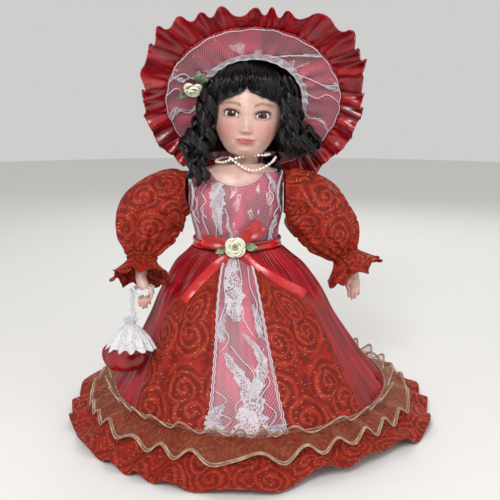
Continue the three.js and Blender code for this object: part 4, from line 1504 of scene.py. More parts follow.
def makeFace():
    nu, nv = 236, 184
    rows = []
    for j in range(nv):
        v = j / (nv - 1)
        z = lerp(-41.9, 41.4, v) if 0.04 < v < 0.96 else (
            lerp(-42, -41.9 + 83.3 * 0.04, v / 0.04) if v <= 0.04 else lerp(
                -41.9 + 83.3 * 0.96, 41.4, (v - 0.96) / 0.04,
            )
        )
        row = []
        for i in range(nu):
            u = i / nu
            a = turn * u
            a -= 0.55 * sin(a)  # finer mesh across the face
            row.append(headPoint(a, z))
        rows.append(row)
    points, faces, uvs = gridData(rows, closedU=True, size=(210, 90))
    bottom, top = len(points), len(points) + 1
    points += [Vector((0, -9, -42.3)), Vector((0, 2, 41.6))]
    for i in range(nu):
        k = (i + 1) % nu
        faces += [[bottom, k, i], [top, (nv - 1) * nu + i, (nv - 1) * nu + k]]
        uvs += [[(0, 0)] * 3, [(0, 0)] * 3]
    face = meshFrom("porcelainHead", points, faces, uvs)
    openEyes(face)
    shell = face.modifiers.new("wall", "SOLIDIFY")
    shell.thickness = 1.5 * mm
    shell.offset = -1
    settle(face)
    neckLine = [(2.0, 2.5, -66), (2.0, 2.4, -56), (2.0, 2.0, -46), (1.2, 0.5, -33)]
    neckTube = tubeSolid(neckLine, [15.5, 13.4, 12.0, 11.6, 12.0, 13.0])
    ears = []
    for side in (-1, 1):
        spiral = [
            (
                side * (32.6 + 1.6 * sin(t * 2.2)), -1.5 + 4.2 * cos(2.6 * t + 0.6),
                -6 + 8.4 * sin(2.6 * t + 0.6) * (1 - 0.35 * t),
            ) for t in (k / 12 for k in range(19))
        ]
        ears.append(cords("ear", [evenPath(spiral, 40)], lambda t: 2.1 - 0.9 * t, sides=10))
        ears.append(
            beads("lobe", [(side * 32.4, -2.4, -12.5)], 3.2, squash=(0.6, 0.8, 1.1), detail=(16, 12))
        )
    face = joined("porcelainHead", [face, neckTube] + ears)

    def lipPaint(p):
        if p.y > -20:
            return 0.0
        t = clamp(abs(p.x) / 9.2)
        dz = p.z - head["mouthZ"] - 0.75 * t * t
        top, low = 2.7 * (1 - t ** 1.6) - 0.8 * bell(p.x, 1.4), -3.1 * (1 - t ** 2.2)
        return smooth(0.5, -0.25, dz - top) * smooth(-0.5, 0.3, dz - low) * smooth(9.4, 8.7, abs(p.x))

    def blushPaint(p):
        if p.y > 5:
            return 0.0
        cheeks = 0.62 * sum(bell(hypot((p.x - s * 19.5) / 1.15, p.z + 15.5), 9.5) for s in (-1, 1))
        lidTint = 0.25 * sum(bell(hypot((p.x - s * 15) / 1.6, p.z - 2.0) - 5.0, 1.6) for s in (-1, 1))
        return clamp(
            cheeks + lidTint + 0.30 * bell(
                hypot(p.x, p.z + 36), 7,
            ) + 0.35 * bell(p.x, 3) * bell(p.z + 17.6, 1.2)
        )

    paint(face, "lips", lipPaint)
    paint(face, "blush", blushPaint)
    face.data.transform(
        Matrix.Translation(Vector(head["pivot"]) * mm) @ headTurn @ Matrix.Translation(
            Vector(head["centre"]) * mm
        )
    )
    place(face, bisque, "head", "porcelain_head")


def makeEyes():
    for side, name in ((1, "left"), (-1, "right")):
        ball = head["ball"]
        centre = Vector((side * ball["x"], ball["y"], ball["z"]))
        look = Vector((side * 0.29 - 0.02, -1, -0.03)).normalized()
        right = look.cross(Vector((0, 0, 1))).normalized()
        up = right.cross(look)
        points, faces, uvs = [], [], []
        nu, nv = 48, 30
        for j in range(nv + 1):
            b = pi * j / nv
            for i in range(nu):
                a = turn * i / nu
                r = ball["r"] + 0.3 * bell(b, 0.45)  # the cornea stands proud
                points.append(
                    headPlace(
                        centre + look * (r * cos(b)) + right * (
                            r * sin(b) * cos(a)
                        ) + up * (r * sin(b) * sin(a))
                    )
                )
        flat = []
        for j in range(nv + 1):
            b = pi * j / nv
            flat += [
                (ball["r"] * b * cos(turn * i / nu), ball["r"] * b * sin(turn * i / nu)) for i in range(nu)
            ]
        for j in range(nv):
            for i in range(nu):
                k = (i + 1) % nu
                quad = [j * nu + i, j * nu + k, (j + 1) * nu + k, (j + 1) * nu + i]
                faces.append(quad)
                uvs.append([flat[q] for q in quad])
        eye = meshFrom(f"glassEyeball_{name}", points, faces, uvs)
        place(eye, glassEye, "head", f"glass_eye_{name}")


def stroke(points, widths):
    # a painted stroke on the face: points are (x, z), widths run along it
    rows = []
    for k, (x, z) in enumerate(points):
        ahead = points[min(k + 1, len(points) - 1)]
        behind = points[max(k - 1, 0)]
        dx, dz = ahead[0] - behind[0], ahead[1] - behind[1]
        reach = hypot(dx, dz) or 1.0
        w = widths[k] * 0.5
        nx, nz = -dz / reach * w, dx / reach * w
        rows.append(
            [headPlace(facePoint(x + f * nx, z + f * nz, 0.10 + 0.10 * (1 - abs(f)))) for f in (-1, 0, 1)]
        )
    return meshFrom("stroke", *gridData(rows, size=(1, 4)))


def makePaint():
    # lashes, lid lines and feathered brows, painted on the bisque
    lashes, brows = [], []
    random.seed(8)
    for side in (-1, 1):
        upper = [lidShape(pi * k / 24, side, 0.35) for k in range(25)]
        lashes.append(stroke(upper, [0.6 + 1.25 * sin(pi * k / 24) for k in range(25)]))
        crease = [(x, z + 1.6) for x, z in (lidShape(pi * k / 24, side, 0.3) for k in range(3, 22))]
        brows.append(stroke(crease, [0.25 + 0.25 * sin(pi * k / 18) for k in range(19)]))
        for k in range(17):
            t = pi * (k + 0.6) / 17
            x, z = lidShape(t, side, 0.5)
            fan = side * cos(t)
            lashes.append(
                stroke(
                    [(x + fan * 0.9 * f, z + 2.5 * f - 0.3 * f * f) for f in (0, 0.4, 0.75, 1)],
                    [0.42, 0.34, 0.24, 0.08],
                )
            )
            t = -pi * (k + 0.5) / 17
            x, z = lidShape(t, side, 0.45)
            fan = side * cos(t)
            lashes.append(
                stroke([(x + fan * 0.8 * f, z - 1.9 * f) for f in (0, 0.5, 1)], [0.30, 0.24, 0.08])
            )
        for k in range(64):
            f = k / 63
            x = side * lerp(6.6, 24.5, f)
            z = head["browZ"] + 0.4 + 2.8 * sin(pi * min(1, f * 0.86 + 0.10)) + random.uniform(-0.7, 0.5)
            lean, rise = lerp(0.9, 3.6, f), lerp(2.9, 0.9, f) * random.uniform(0.7, 1.15)
            brows.append(
                stroke([(x + side * lean * g, z + rise * g) for g in (-0.6, 0.1, 0.8)], [0.10, 0.32, 0.08])
            )
    place(joined("paintedLashes", lashes), lashPaint, "head")
    place(joined("paintedBrows", brows), browPaint, "head")
    nostrils = [headPlace(facePoint(s * 2.2, head["noseZ"] - 3.1, -0.25)) for s in (-1, 1)]
    place(beads("nostrils", nostrils, 0.95, squash=(1.1, 0.5, 0.6)), browPaint, "head")


makeFace()
makeEyes()
makePaint()
print("head ready")

# where the hat sits: everything on it is laid out flat about its own axis, then tilted back on the head
hat = {
    "place": (3, 8, 316), "tilt": 52, "ruffle": 106, "pleats": 34, "square": 0.75,
    "crown": [
        (47.6, 1.8), (47.6, 12), (46.6, 24), (42.5, 33), (35, 38.5), (22, 41), (8, 41.6), (0.3, 41.2),
    ],
    "brim": [(48, -0.9), (66, -2.9), (84, -7.4)],
}
hatTurn = Matrix.Rotation(-radians(hat["tilt"]), 4, "X")


def hatPlace(p):
    return Vector(hat["place"]) + hatTurn @ Vector(p)


def onHat(a, r, z):
    # a is the turn about the hat's own axis, r and z are from the middle of its opening
    return hatPlace((r * cos(a), r * sin(a), z))


def underHat(p):
    # draws a lock in through the hat's opening, so that no hair crosses the brim
    q = hatTurn.inverted() @ (p - Vector(hat["place"]))
    most = 41.5 + 2.5 * max(0.0, -q.z - 3)
    away = hypot(q.x, q.y)
    if away > most:
        q.x, q.y = q.x * most / away, q.y * most / away
    return hatPlace(q)


# wig: a close cap, a parted fringe and hanging ringlets on both sides
wig = {
    "cap": [
        (262, 44, 30, -4, 10), (272, 44, 34, -4, 9), (286, 43, 37, -3, 7), (302, 42, 41, -3, 5),
        (318, 41, 41.5, -3, 5), (332, 36, 37, -3, 6), (344, 26, 27, -2, 7), (350, 13, 13, -2, 7),
    ],
    # side falls as (x, y, top, bottom, radius), stepped outwards and downwards
    "right": [
        (-36, -20, 336, 262, 5.8), (-41, -14, 334, 252, 6.2), (-45, -8, 326, 246, 6.4),
        (-49, -3, 312, 250, 6.4),
        (-54, 3, 300, 254, 6.4), (-60, 8, 288, 258, 6.2), (-65, 13, 280, 262, 6.0),
        (-44, -23, 308, 248, 6.2),
        (-51, -17, 296, 247, 6.2), (-57, -9, 286, 251, 6.2), (-62, -1, 277, 255, 6.0),
    ],
    "left": [
        (32, -20, 338, 266, 5.8), (37, -14, 338, 262, 6.2), (41, -8, 332, 258, 6.4),
        (45, -2, 320, 256, 6.4),
        (51, 4, 304, 257, 6.4), (58, 9, 291, 260, 6.2), (64, 14, 282, 263, 6.0),
        (38, -22, 312, 266, 6.0),
        (44, -15, 300, 262, 6.2), (52, -8, 288, 259, 6.2), (60, -1, 279, 260, 6.0),
    ],
    "backCount": 19, "backSpread": 2.05, "backLevels": ((326, 284), (296, 258)),
    # curls that lie on the shoulders: (x, y, top, bottom)
    "shoulderRight": [(-50, -38, 262, 233), (-43, -36, 258, 238), (-57, -33, 262, 240)],
    "shoulderLeft": [(18, 27, 260, 233), (27, 29, 262, 236), (22, 32, 258, 232)],
}


def capSurface(a, z, out=0.0):
    rx, ry, x, y = columnsAt(wig["cap"], z)
    return around(a, rx + out, ry + out, x, y, z)


def makeCap():
    def point(u, v):
        z = lerp(262.5, 346, v)
        half = lerp(1.02, 0.02, smooth(306, 326, z))  # open in front of the face
        a = lerp(half, turn - half, u)
        lock = 1.1 * sin(26 * a + 2 * wobble(a * 2, z * 0.03)) + 1.2 * wobble(a * 3, z * 0.05)
        return capSurface(a, z, lock)

    obj = sheetFrom("wigCap", point, 260, 70, (260, 84), thick=1.2)
    place(obj, blackHair, "head", "wig")


def ringlet(top, bottom, radius, strands, seed):
    # one curl: a flat bundle of strands wound loosely round a drooping line, as (path, radius) pairs
    random.seed(seed)
    top, bottom = Vector(top), Vector(bottom)
    turns = (top - bottom).length / random.uniform(25, 33)
    start = random.uniform(0, 6.28)
    steps = int(15 * turns) + 8
    locks = []
    for n in range(strands):
        across = n / (strands - 1) - 0.5
        phase = start + 2.3 * across + random.uniform(-0.12, 0.12)
        reach = radius * random.uniform(0.68, 0.92)
        shorter = random.uniform(0, 0.10) + 0.12 * abs(across)
        path = []
        for k in range(steps + 1):
            t = k / steps * (1 - shorter)
            sway = Vector((sin(t * 3 + seed), cos(t * 2.3 + seed), 0)) * (1.6 * sin(pi * t))
            a = phase + turn * turns * t
            r = reach * smooth(-0.05, 0.25, t) * (
                1 - 0.35 * smooth(0.7, 1, t)
            ) + 0.5 * wobble(n * 2.1, t * 6, seed)
            path.append(underHat(top.lerp(bottom, t) + sway + ringAt(a) * r))
        thick = random.uniform(1.15, 1.6)
        locks.append((path, lambda t, q=thick: q * smooth(-0.06, 0.06, t) * smooth(1.04, 0.72, t) + 0.12))
    return locks


def makeRinglets():
    random.seed(21)
    groups = {"left": [], "right": [], "back": []}
    shoulder = {"left": [], "right": []}
    for side, firstSeed in (("right", 40), ("left", 0)):
        for n, (x, y, top, bottom, r) in enumerate(wig[side]):
            low = (x + random.uniform(-1.5, 1.5), y - 1, bottom)
            groups[side].extend(ringlet((x, y, top), low, r, 9, n + firstSeed))
    for n in range(wig["backCount"]):
        a = lerp(-wig["backSpread"], wig["backSpread"], n / (wig["backCount"] - 1)) + pi
        for level, (z0, z1) in enumerate(wig["backLevels"]):
            p = capSurface(a, z0, 2.5 + 2 * level)
            q = Vector((p.x * 1.03, p.y + 2, z1 + random.uniform(-3, 3)))
            groups["back"].extend(ringlet(p, q, 5.6, 7, 90 + n + level * 30))
    for n, (x, y, top, bottom) in enumerate(wig["shoulderRight"]):
        shoulder["right"].extend(ringlet((x, y, top), (x - 1, y - 1.5, bottom), 5.0, 8, 200 + n))
    for n, (x, y, top, bottom) in enumerate(wig["shoulderLeft"]):
        shoulder["left"].extend(ringlet((x, y, top), (x, y + 1.5, bottom), 5.0, 8, 220 + n))
    for name, made in groups.items():
        obj = cords(f"ringlets_{name}", [p for p, _ in made], [r for _, r in made], sides=7)
        place(obj, blackHair, "head")
    for side, made in shoulder.items():
        obj = cords(f"shoulderCurls_{side}", [p for p, _ in made], [r for _, r in made], sides=7)
        place(obj, blackHair, "torso", f"shoulder_curls_{side}")


fringe = {
    "edge": [
        (-38, 302), (-33, 315), (-25, 321), (-14, 322.5), (-8, 325), (-3, 329), (1, 325.5), (7, 320),
        (15, 317), (24, 311), (31, 299),
    ],
    "layers": (54, 46, 36),
}


def makeFringe():
    # a full fringe combed forward from the crown, parted a little over the nose
    locks, radii = [], []
    random.seed(31)
    for layer, count in enumerate(fringe["layers"]):
        for k in range(count):
            x = lerp(-39, 32, (k + 0.5) / count) + random.uniform(-0.8, 0.8)
            away = clamp((x + 3.5) / 35, -1, 1)
            depth = sqrt(max(0.05, 1 - (away * 0.93) ** 2))
            y = lambda out, d=depth: 2 - (36.5 + out) * d
            low = table(fringe["edge"], x) + random.uniform(-3.2, 2.2) + 1.2 * layer
            lean = away * random.uniform(1.0, 3.0) + random.uniform(-0.6, 0.6)
            rise, puff = random.uniform(-3.5, 1.5), random.uniform(-0.8, 0.9)
            line = [
                (x * 0.42 - 1.5, 2 - 15 * depth, 351.5),
                (x * 0.72 - 1, 2 - 26 * depth, 347.5 - 4 * abs(away) + 0.4 * rise),
                (
                    x * 0.93, y(0.9 + layer + puff), 338 - 6 * abs(away) + rise,
                ), (x, y(2.6 + 0.8 * layer), 0.5 * (low + 334 - 7 * abs(away))),
                (x + lean, y(1.2 + 0.6 * layer), low),
            ]
            path = evenPath(line, 30)
            curl = 6.0 * noise.noise(Vector((x * 0.11, layer * 1.7, 0)))
            for n, p in enumerate(path):
                t = n / 29
                p.x += 1.7 * sin(8.0 * t + curl) * t
                p.y -= 0.9 * cos(8.0 * t + curl) * t
            locks.append(path)
            radii.append(lambda t: 1.7 * smooth(-0.1, 0.15, t) * smooth(1.04, 0.5, t) + 0.12)
    obj = cords("wigFringe", locks, radii, sides=8)
    place(obj, blackHair, "head", "wig_fringe")


makeCap()
makeRinglets()
makeFringe()
print("wig ready")

# hat
def brimHeight(r):
    return table(hat["brim"], r)


def makeHat():
    def crown(u, v):
        a = turn * u
        r, z = spline(hat["crown"], v)
        gather = 0.8 * sin(
            30 * a + 2 * wobble(cos(a) * 2, sin(a) * 2)
        ) * smooth(1.0, 0.55, v) * smooth(0, 0.1, v)
        return onHat(a, r + gather, z)

    obj = sheetFrom("hatCrown", crown, 360, 60, (300, 80), closed=True, thick=0.6)
    place(obj, crimson, "hat", "hat_crown")
    button = beads("hatButton", [hatPlace((0, 0, 42.2))], 5.5, squash=(1, 1, 0.5), detail=(28, 14))
    place(button, crimson, "hat")

    def ribbon(u, v):
        return onHat(turn * u, 48.6 + 0.5 * sin(v * 8), lerp(1.6, 12, v))

    clothPiece("hatBand", ribbon, (200, 18), (305, 11), sashRed, "hat",
               held="stretched", restsOn="hatCrown", closed=True, thick=0.4)

    def brimFace(under):
        def point(u, v):
            a = turn * u
            r = lerp(47.4, 85.2, v)
            ripple = (
                0.9 * sin(
                    26 * a + 3 * wobble(cos(a), sin(a))
                ) * (1 - v) + 0.8 * wobble(3 * cos(a), 3 * sin(a), v * 3)
            )
            return onHat(a, r, brimHeight(r) + (ripple - 0.4 if under else 2.2 + 0.4 * ripple))
        return point

    clothPiece("brimLace", brimFace(True), (480, 50), (420, 38), roseNet, "hat", "hat_brim",
               held="stretched", restsOn="hatBrimTop", closed=True, flip=True, thick=0.4)
    clothPiece("hatBrimTop", brimFace(False), (300, 24), (420, 38), crimson, "hat",
               held="stretched", restsOn="hatCrown", closed=True, thick=0.4)

    def ruffle(u, v):
        a = turn * u
        ring = ringAt(a)
        lower = max(0.0, -sin(a))
        corner = (abs(cos(a)) ** 3.4 + lower ** 3.4) ** (-1 / 3.4) if lower > 0 else 1.0
        drift = 1.9 * noise.noise(ring * 2.3 + Vector((5, 0, 0)))
        wave = sin(hat["pleats"] * a + 3.5 * drift)
        sharp = wave * abs(wave) ** -0.3 if abs(wave) > 0.02 else 0
        edge = 4.2 * noise.noise(ring * 6 + Vector((0, 9, 0)))
        tall = 0.65 + 0.9 * abs(noise.noise(ring * 3.1 + Vector((2, 2, 0))))
        r = lerp(84.6, hat["ruffle"] + edge + 1.6 * wave - 1.0, v)
        r *= 1 + hat["square"] * (corner - 1) * v
        z = lerp(
            -6.6, -15.6, v ** 1.15,
        ) + 4.6 * tall * sharp * v ** 0.7 + 0.6 * sin(hat["pleats"] * 2 * a) * (1 - v)
        z += 1.6 * noise.noise(ring * 9 + Vector((0, 0, 3 * v))) * v
        return onHat(a, r, z)

    clothPiece("hatRuffle", ruffle, (1100, 26), (1150, 25), crimson, "hat", "hat_ruffle",
               held="gathered", restsOn="hatBrimTop", closed=True, flip=True, thick=0.5)
    heading = [
        [onHat(a, 84.4 + 0.5 * sin(hat["pleats"] * 3 * a), z) for a in (turn * k / 500 for k in range(500))]
        for z in (-8.9, -5.0)
    ]
    place(cords("ruffleHeading", heading, 0.9, sides=6, closed=True), crimson, "hat")

    def polar(a, r, out=0.0):
        return onHat(radians(a), r, brimHeight(clamp(r, 48, 84)) - 1.6 - out)

    # a lace edge round the opening, and lace bands that run from it to the rim
    def border(u, v):
        a = 360 * u
        wave = sin(radians(a) * 31 + 2 * wobble(3 * u, 0))
        side = smooth(0.35, 0.9, cos(radians(a)) * -sin(radians(a) + 0.6) + 0.4)
        return polar(a, lerp(47.5, 53.5 + 4.5 * side + 0.8 * wave, v), 0.5 + 0.9 * wave * (0.2 + 0.8 * v))

    trim = sheetFrom("brimBorder", border, 528, 12, (520, 8), closed=True, flip=True, thick=0.3)
    place(trim, laceTrim, "hat")
    bands = []
    random.seed(4)
    for stem, wide in (
        ([(-82, 49.5), (-72, 53), (-61, 60), (-52, 68), (-46, 76), (-43, 83)], 12.0),
        ([(-36, 52), (-28, 58), (-20, 66), (-14, 75), (-13, 83)], 8.5),
        ([(14, 50), (20, 60), (18, 71), (24, 83)], 7.0),
        ([(-148, 54), (-152, 62), (-158, 72), (-156, 83)], 7.5),
        (
            [(-186, 52), (-190, 62), (-186, 73), (-192, 83)], 8.0,
        ), ([(52, 52), (58, 64), (54, 74), (60, 83)], 6.5),
        ([(120, 52), (114, 64), (122, 74), (118, 83)], 6.5), ([(86, 52), (92, 66), (84, 83)], 6.0),
    ):
        def strip(u, v, stem=stem, wide=wide):
            a, r = spline(stem, v)
            f = (u - 0.5) * wide * (0.6 + 0.4 * sin(9 * v + 1) + 0.18 * sin(41 * v))
            return polar(
                a + degrees(f / r) * 0.8, clamp(r + f * 0.45, 47.8, 84), 0.7 + 0.5 * sin(8 * u + 21 * v),
            )

        bands.append(sheetFrom("band", strip, 12, 60, (wide, 38), thick=0.25))
    place(joined("brimLaceBands", bands), laceTrim, "hat")
    lines, radii = [], []
    for r, thick in ((48.4, 0.7), (83.6, 0.5)):
        lines.append([polar(2 * k, r + 0.5 * sin(k * 0.9) + 0.4 * sin(k * 0.37), 0.6) for k in range(181)])
        radii.append(thick)
    for stem in (
        [(-80, 50), (-66, 56), (-55, 65), (-46, 76), (-42, 83)],
        [(-40, 50), (-30, 57), (-18, 69), (-16, 83)],
        [(-10, 52), (-4, 62), (-8, 72), (-2, 83)], [(-144, 50), (-154, 62), (-152, 74), (-160, 83)],
        [(-168, 50), (-172, 64), (-166, 75), (-172, 83)], [(-182, 50), (-192, 64), (-184, 76), (-190, 83)],
    ):
        lines.append([polar(*spline(stem, k / 40), 0.9 + 0.3 * sin(k)) for k in range(41)])
        radii.append(0.5)
    place(cords("brimLaceCords", lines, radii, sides=6), laceCord, "hat")

    facing = hatTurn @ Vector((0, 0.25, -1))
    rose("hatRose", hatPlace((-57, -20, -10.5)), facing, 9.6, roseRibbon, "hat", "hat_rose", seed=6)
    leaves = [
        leafShape(hatPlace((-52, -25, -9)), hatPlace((-41, -32, -8)), facing, 8.0),
        leafShape(hatPlace((-62, -15, -9)), hatPlace((-73, -9, -10)), facing, 8.0),
        leafShape(hatPlace((-54, -27, -8.5)), hatPlace((-50, -38, -7.5)), facing, 6.0),
    ]
    place(joined("hatLeaves", leaves), leafRibbon, "hat", "hat_leaves")


makeHat()
print("hat ready")

# bag: a drawn-up satin pouch, a scalloped lace collar and a lace strap from the wrist
bag = {
    "x": -117, "y": -64, "top": 111, "loop": (-102, -46, 137), "loopRadius": 9.4,
    "pouch": [
        (62, 9, 4, -1), (64, 15, 6.5, -1), (69, 20, 9, -1), (77, 23, 10.6, 0), (86, 20.5, 10.4, 0),
        (94, 13, 8.2, 2), (100, 6.6, 5.4, 3), (103, 6.0, 5.0, 3.5),
    ],
    "collarWide": [(0, 7.0), (0.10, 4.6), (0.2, 4.4), (0.36, 9.5), (0.68, 17.5), (1.0, 22.6)],
    "collarDeep": [(0, 6.4), (0.10, 4.2), (0.2, 4.0), (0.36, 7.8), (0.68, 11.8), (1.0, 13.6)],
}


def makeBag():
    x, y = bag["x"], bag["y"]
    def pouch(u, v):
        z = lerp(62, 103, v)
        a = turn * u
        rx, ry, dx = columnsAt(bag["pouch"], z)
        pull = smooth(0.35, 0.95, v)
        fold = 1.5 * sin(13 * a + 2 * wobble(cos(a), sin(a))) * pull
        fold += (1.9 * wobble(2 * cos(a), 2 * sin(a), v * 4) + 0.5 * sin(9 * a + 3 * v)) * (1 - pull)
        fold -= 2.4 * max(0.0, 0.88 * sin(a) - 0.48 * cos(a)) * (1 - pull)  # flatter against the gown
        return around(a, rx + fold, ry + fold, x + dx, y, z + 0.6 * wobble(a, v))

    grid = [[pouch(i / 160, j / 59) for i in range(160)] for j in range(60)]
    points, faces, uvs = gridData(grid, closedU=True, size=(110, 44))
    points += [Vector((x - 1, y, 61.2)), Vector((x + 3.5, y, 103.2))]
    for i in range(160):
        k = (i + 1) % 160
        faces += [[len(points) - 2, k, i], [len(points) - 1, 59 * 160 + i, 59 * 160 + k]]
        uvs += [[(0, 0)] * 3, [(0, 0)] * 3]
    made = meshFrom("bagPouch", points, faces, uvs)
    place(made, crimson, "bag", "bag_pouch")

    def collar(u, v):
        a = turn * u
        rx = table(bag["collarWide"], v)
        ry = table(bag["collarDeep"], v)
        wave = sin(13 * a + 1.2 * wobble(2 * cos(a), 2 * sin(a)))
        full = smooth(0.2, 1.0, v)
        rx += (2.3 * wave - 1.2 * max(0.0, sin(a))) * full
        ry += 1.8 * wave * full
        z = lerp(
            114, 87.5, v,
        ) - 2.4 * v ** 4 * abs(cos(6.5 * a)) - 1.1 * wave * full + 0.9 * sin(11 * a) * (1 - v) ** 8
        return around(a, rx, ry, x + 4.5, y - 0.4, z)

    clothPiece("bagLaceCollar", collar, (300, 36), (150, 27), whiteLace, "bag", "bag_lace",
               held="gathered", restsOn="bagPouch", closed=True, thick=0.35)
    edging = [edgeOf(collar, 1.0, 300), edgeOf(collar, 0.88, 300), edgeOf(collar, 0.15, 120)]
    place(cords("bagLaceEdge", edging, [0.55, 0.4, 1.1], sides=6, closed=True), laceCord, "bag")

    lx, ly, lz = bag["loop"]
    start, end = Vector(
        (lx - bag["loopRadius"] - 2.2, ly, lz + 2)
    ), Vector((-111.2, y + 4, bag["top"] + 0.4))

    def strap(u, v):
        p = start.lerp(end, v)
        f = u - 0.5
        half = 3.4 + 0.7 * sin(v * 40)
        return p + Vector((0.7 * sin(v * 9), f * 2 * half * 0.7, 0)) + Vector((f * half * 1.2, 0, 0))

    tape = sheetFrom("bagLaceStrap", strap, 9, 70, (7, 30), thick=0.5)
    place(tape, whiteLace, "strap", "bag_strap")

    def loop(u, v):
        a = turn * u
        r = bag["loopRadius"] + 0.5 + 0.6 * sin(18 * a) * abs(2 * v - 1)
        return Vector(
            (lx + r * cos(a), ly + r * sin(a), lz + lerp(-3.2, 3.2, v) + 0.8 * sin(9 * a) * (2 * v - 1))
        )

    clothPiece("wristLace", loop, (150, 12), (62, 11), whiteLace, "arm_right", "wrist_loop",
               held="gathered", restsOn="porcelainArm_right", closed=True, thick=0.4)


makeBag()
print("bag ready")

# legs, shoes and the pieces under the gown
legs = {
    "middle": -10, "apart": 16,
    "shin": [
        (0.3, 85.5), (8, 85.4), (10.3, 82), (9.7, 72), (10.2, 58), (9.6, 48), (8.0, 34), (6.8, 24),
        (6.6, 18), (7.2, 13), (5, 12.2), (0.3, 12),
    ],
    "pants": [(0, 15.8), (0.12, 15.0), (0.2, 13.6), (0.3, 15.2), (0.7, 15.4), (1, 14.8)],
}


def lathe(name, profile, centre, count=64, wave=None):
    # a turned surface about z from (radius, height) points
    def point(u, v):
        r, z = spline(profile, v)
        a = turn * u
        r += wave(a, v) if wave else 0
        return around(a, r, r, *centre, z)

    return sheetFrom(name, point, count, 60, (60, 60), closed=True)


def makeLegs(side):
    x = legs["middle"] + (legs["apart"] if side == "left" else -legs["apart"])
    body = f"leg_{side}"
    leg = lathe("shin", legs["shin"][::-1], (x, 0))
    foot = beads("foot", [(x, -9, 13.6)], 1.0, squash=(6.7, 15.8, 4.7), detail=(40, 24))
    made = joined(f"porcelainLeg_{side}", [leg, foot])
    for name in ("blush", "lips"):
        paint(made, name, lambda p: 0.0)
    place(made, bisque, body, f"porcelain_leg_{side}")

    def pants(u, v):
        a = turn * u
        z = lerp(70, 133, v)
        r = table(legs["pants"], v)
        r += 0.5 * sin(12 * a + 3 * v) * smooth(0.0, 0.4, v) + 0.6 * sin(22 * a) * smooth(0.18, 0, v)
        return around(a, r, r, x, 0, z)

    clothPiece(f"pantaloon_{side}", pants, (150, 50), (98, 66), cotton, body, f"pantaloon_leg_{side}",
               held="gathered", restsOn=f"cloth_thigh_{side}", closed=True, flip=True, thick=0.4)
    hemLace = cords(
        f"pantaloonHem_{side}", [edgeOf(pants, 0.0, 150), edgeOf(pants, 0.16, 150)], [0.6, 0.5], sides=6,
        closed=True,
    )
    place(hemLace, laceCord, body)

    def upper(u, v):
        a = turn * u
        z = lerp(7.2, 20.5, v)
        half = table([(0, 8.6), (0.15, 9.2), (0.6, 9.2), (1, 8.0)], v)
        long = table([(0, 20), (0.15, 20.6), (0.5, 19.6), (0.75, 15.5), (1, 10.5)], v)
        back = table([(0, -8.6), (0.5, -8.2), (0.75, -5), (1, -0.8)], v)
        narrow = 1 - 0.12 * smooth(0, 1, -cos(a)) if cos(a) < 0 else 1
        return around(a, half * narrow, long, x, back, z)

    shell = sheetFrom("upper", upper, 120, 34, (70, 20), closed=True, flip=True, thick=1.0)
    sole = cords("welt", [edgeOf(upper, 0.03, 120)], 0.9, sides=8, closed=True)
    strapLine = [
        Vector(
            (x + 8.9 * cos(t), -7.5 - 0.6 * sin(t), 17.5 + 5.2 * sin(t))
        ) for t in (pi * k / 24 for k in range(25))
    ]
    strap = cords("strap", [strapLine], 1.0, sides=8, flat=1.8)
    floorPlate = sheetFrom(
        "insole", lambda u,
        v: Vector(
            (x + (u - 0.5) * 17 * sqrt(max(0.02, 1 - (2 * v - 1) ** 2)) , -8.6 + 20.2 * (2 * v - 1), 7.3)
        ),
        14, 30, (17, 40), thick=0.9,
    )
    button = beads("button", [(x + 9.4, -7.8, 16.5)], 1.5, squash=(0.5, 1, 1))
    place(
        joined(f"strapShoe_{side}", [shell, sole, strap, floorPlate, button]), shoeLeather, body,
        f"shoe_{side}",
    )


for side in ("left", "right"):
    makeLegs(side)


def makeSeat():
    def point(u, v):
        a = turn * u
        z = lerp(148.6, 163, v)
        rx, ry = table([(0, 35), (0.6, 38.2), (1, 38)], v), table([(0, 27.5), (0.6, 30.2), (1, 30)], v)
        fold = 0.35 * sin(24 * a)
        return around(a, rx - 0.5 + fold, ry - 0.5 + fold, -11, 0, z)

    clothPiece("pantaloonSeat", point, (200, 20), (215, 16), cotton, "torso", "pantaloon_seat",
               held="stretched", restsOn="cloth_torso", closed=True, flip=True, thick=0.5)


plate = {
    "rows": [
        (222, 42, 28, -14, 0), (232, 43, 28, -14, 0), (240, 40, 26, -13.5, 0), (246, 34, 22.5, -12, 0.5),
        (250, 25, 19, -10, 1.5), (253, 17.5, 16.5, -8, 2),
    ],
}


def makePlate():
    # the bisque shoulder plate: sloping shoulders, collar bones and a hollow between them
    def point(u, v):
        z = lerp(222.2, 252.6, v)
        a = turn * u
        rx, ry, x, y = columnsAt(plate["rows"], z)
        px, py = x + rx * sin(a), y - ry * cos(a)
        bones = 0.9 * (bell(px + 24, 9) + bell(px - 2, 9)) * bell(z - 245, 2.6) * (1 if py < 0 else 0)
        hollow = -0.8 * bell(px + 11, 4) * bell(z - 245, 4) * (1 if py < 0 else 0)
        return Vector((px, py - bones - hollow - 0.1, z))

    made = sheetFrom("shoulderPlate", point, 260, 70, (240, 42), closed=True, flip=True, thick=2.2)
    for name in ("blush", "lips"):
        paint(made, name, lambda p: 0.0)
    place(made, bisque, "torso", "shoulder_plate")


makeSeat()
makePlate()

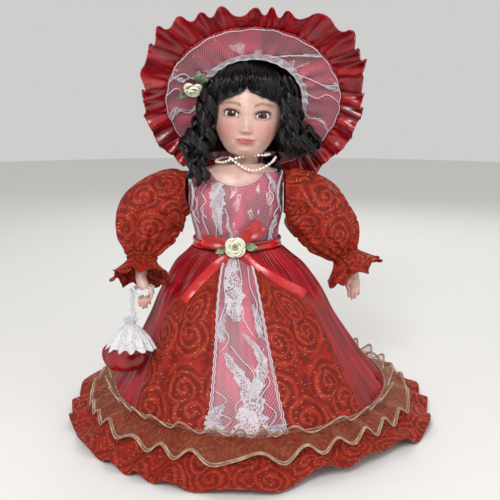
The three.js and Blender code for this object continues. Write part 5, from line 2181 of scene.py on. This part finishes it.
# the frame's own solids that stay as they are and only take a material
carried = (
    (enamel, ["stand_base"]),
    (
        wire,
        ["stand_tube", "clip_wire", "neck_washer", "neck_bolt", "back_snap_1", "back_snap_2", "hat_wire"],
    ),
    (card, ["head_pate"]),
    (
        muslin,
        [
            "cloth_torso", "cloth_upper_arm_left", "cloth_upper_arm_right", "cloth_thigh_left",
            "cloth_thigh_right",
        ],
    ),
)
for material, names in carried:
    for name in names:
        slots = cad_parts[name].data.materials
        slots.clear()
        slots.append(material)
print("inner pieces ready")

# floor, light and camera
studio = {
    "floor": (0.80, 0.79, 0.77), "floorRadius": 3000, "world": 0.62,
    "camera": (0, -0.70, 0.320), "down": 12.4, "lens": 50.9, "aim": (0, 0, 0.2),
    # name, place in metres, power and size
    "lights": [
        ("keyLight", (-0.25, -1.0, 0.85), 9.5, 0.35), ("fillLight", (0.8, -0.7, 0.5), 2.5, 0.8),
        ("backLight", (0.2, 0.9, 0.9), 4.5, 1.2),
    ],
}


def makeStudio():
    turns = [turn * k / 180 for k in range(180)]
    rim = [(studio["floorRadius"] * cos(a), studio["floorRadius"] * sin(a), 0) for a in turns]
    floor = meshFrom("floor", rim, [list(range(180))])
    material, tree, bsdf = newMaterial("floorPaper", Roughness=0.9)
    grain = noiseAt(tree, solidPlace(tree), 30.0)
    feed(tree, bsdf, "Base Color", blendColors(tree, grain, dim(studio["floor"], 0.97), studio["floor"]))
    floor.data.materials.append(material)
    world = bpy.data.worlds.new("softStudio")
    world.use_nodes = True
    world.node_tree.nodes["Background"].inputs["Color"].default_value = (1, 0.99, 0.98, 1.0)
    world.node_tree.nodes["Background"].inputs["Strength"].default_value = studio["world"]
    bpy.context.scene.world = world
    for name, where, energy, size in studio["lights"]:
        data = bpy.data.lights.new(name, "AREA")
        data.energy = energy
        data.size = size
        lamp = bpy.data.objects.new(name, data)
        lamp.location = where
        lamp.rotation_euler = (Vector(studio["aim"]) - Vector(where)).to_track_quat("-Z", "Y").to_euler()
        bpy.context.scene.collection.objects.link(lamp)
    camera = bpy.data.objects.new("camera", bpy.data.cameras.new("camera"))
    camera.location = studio["camera"]
    camera.rotation_euler = (radians(90 - studio["down"]), 0, 0)
    camera.data.lens = studio["lens"]
    camera.data.sensor_width = 36
    camera.data.clip_start = 0.01
    bpy.context.scene.collection.objects.link(camera)
    bpy.context.scene.camera = camera
    bpy.context.scene.view_settings.view_transform = "Standard"


makeStudio()
bpy.context.view_layer.update()
print("studio ready")
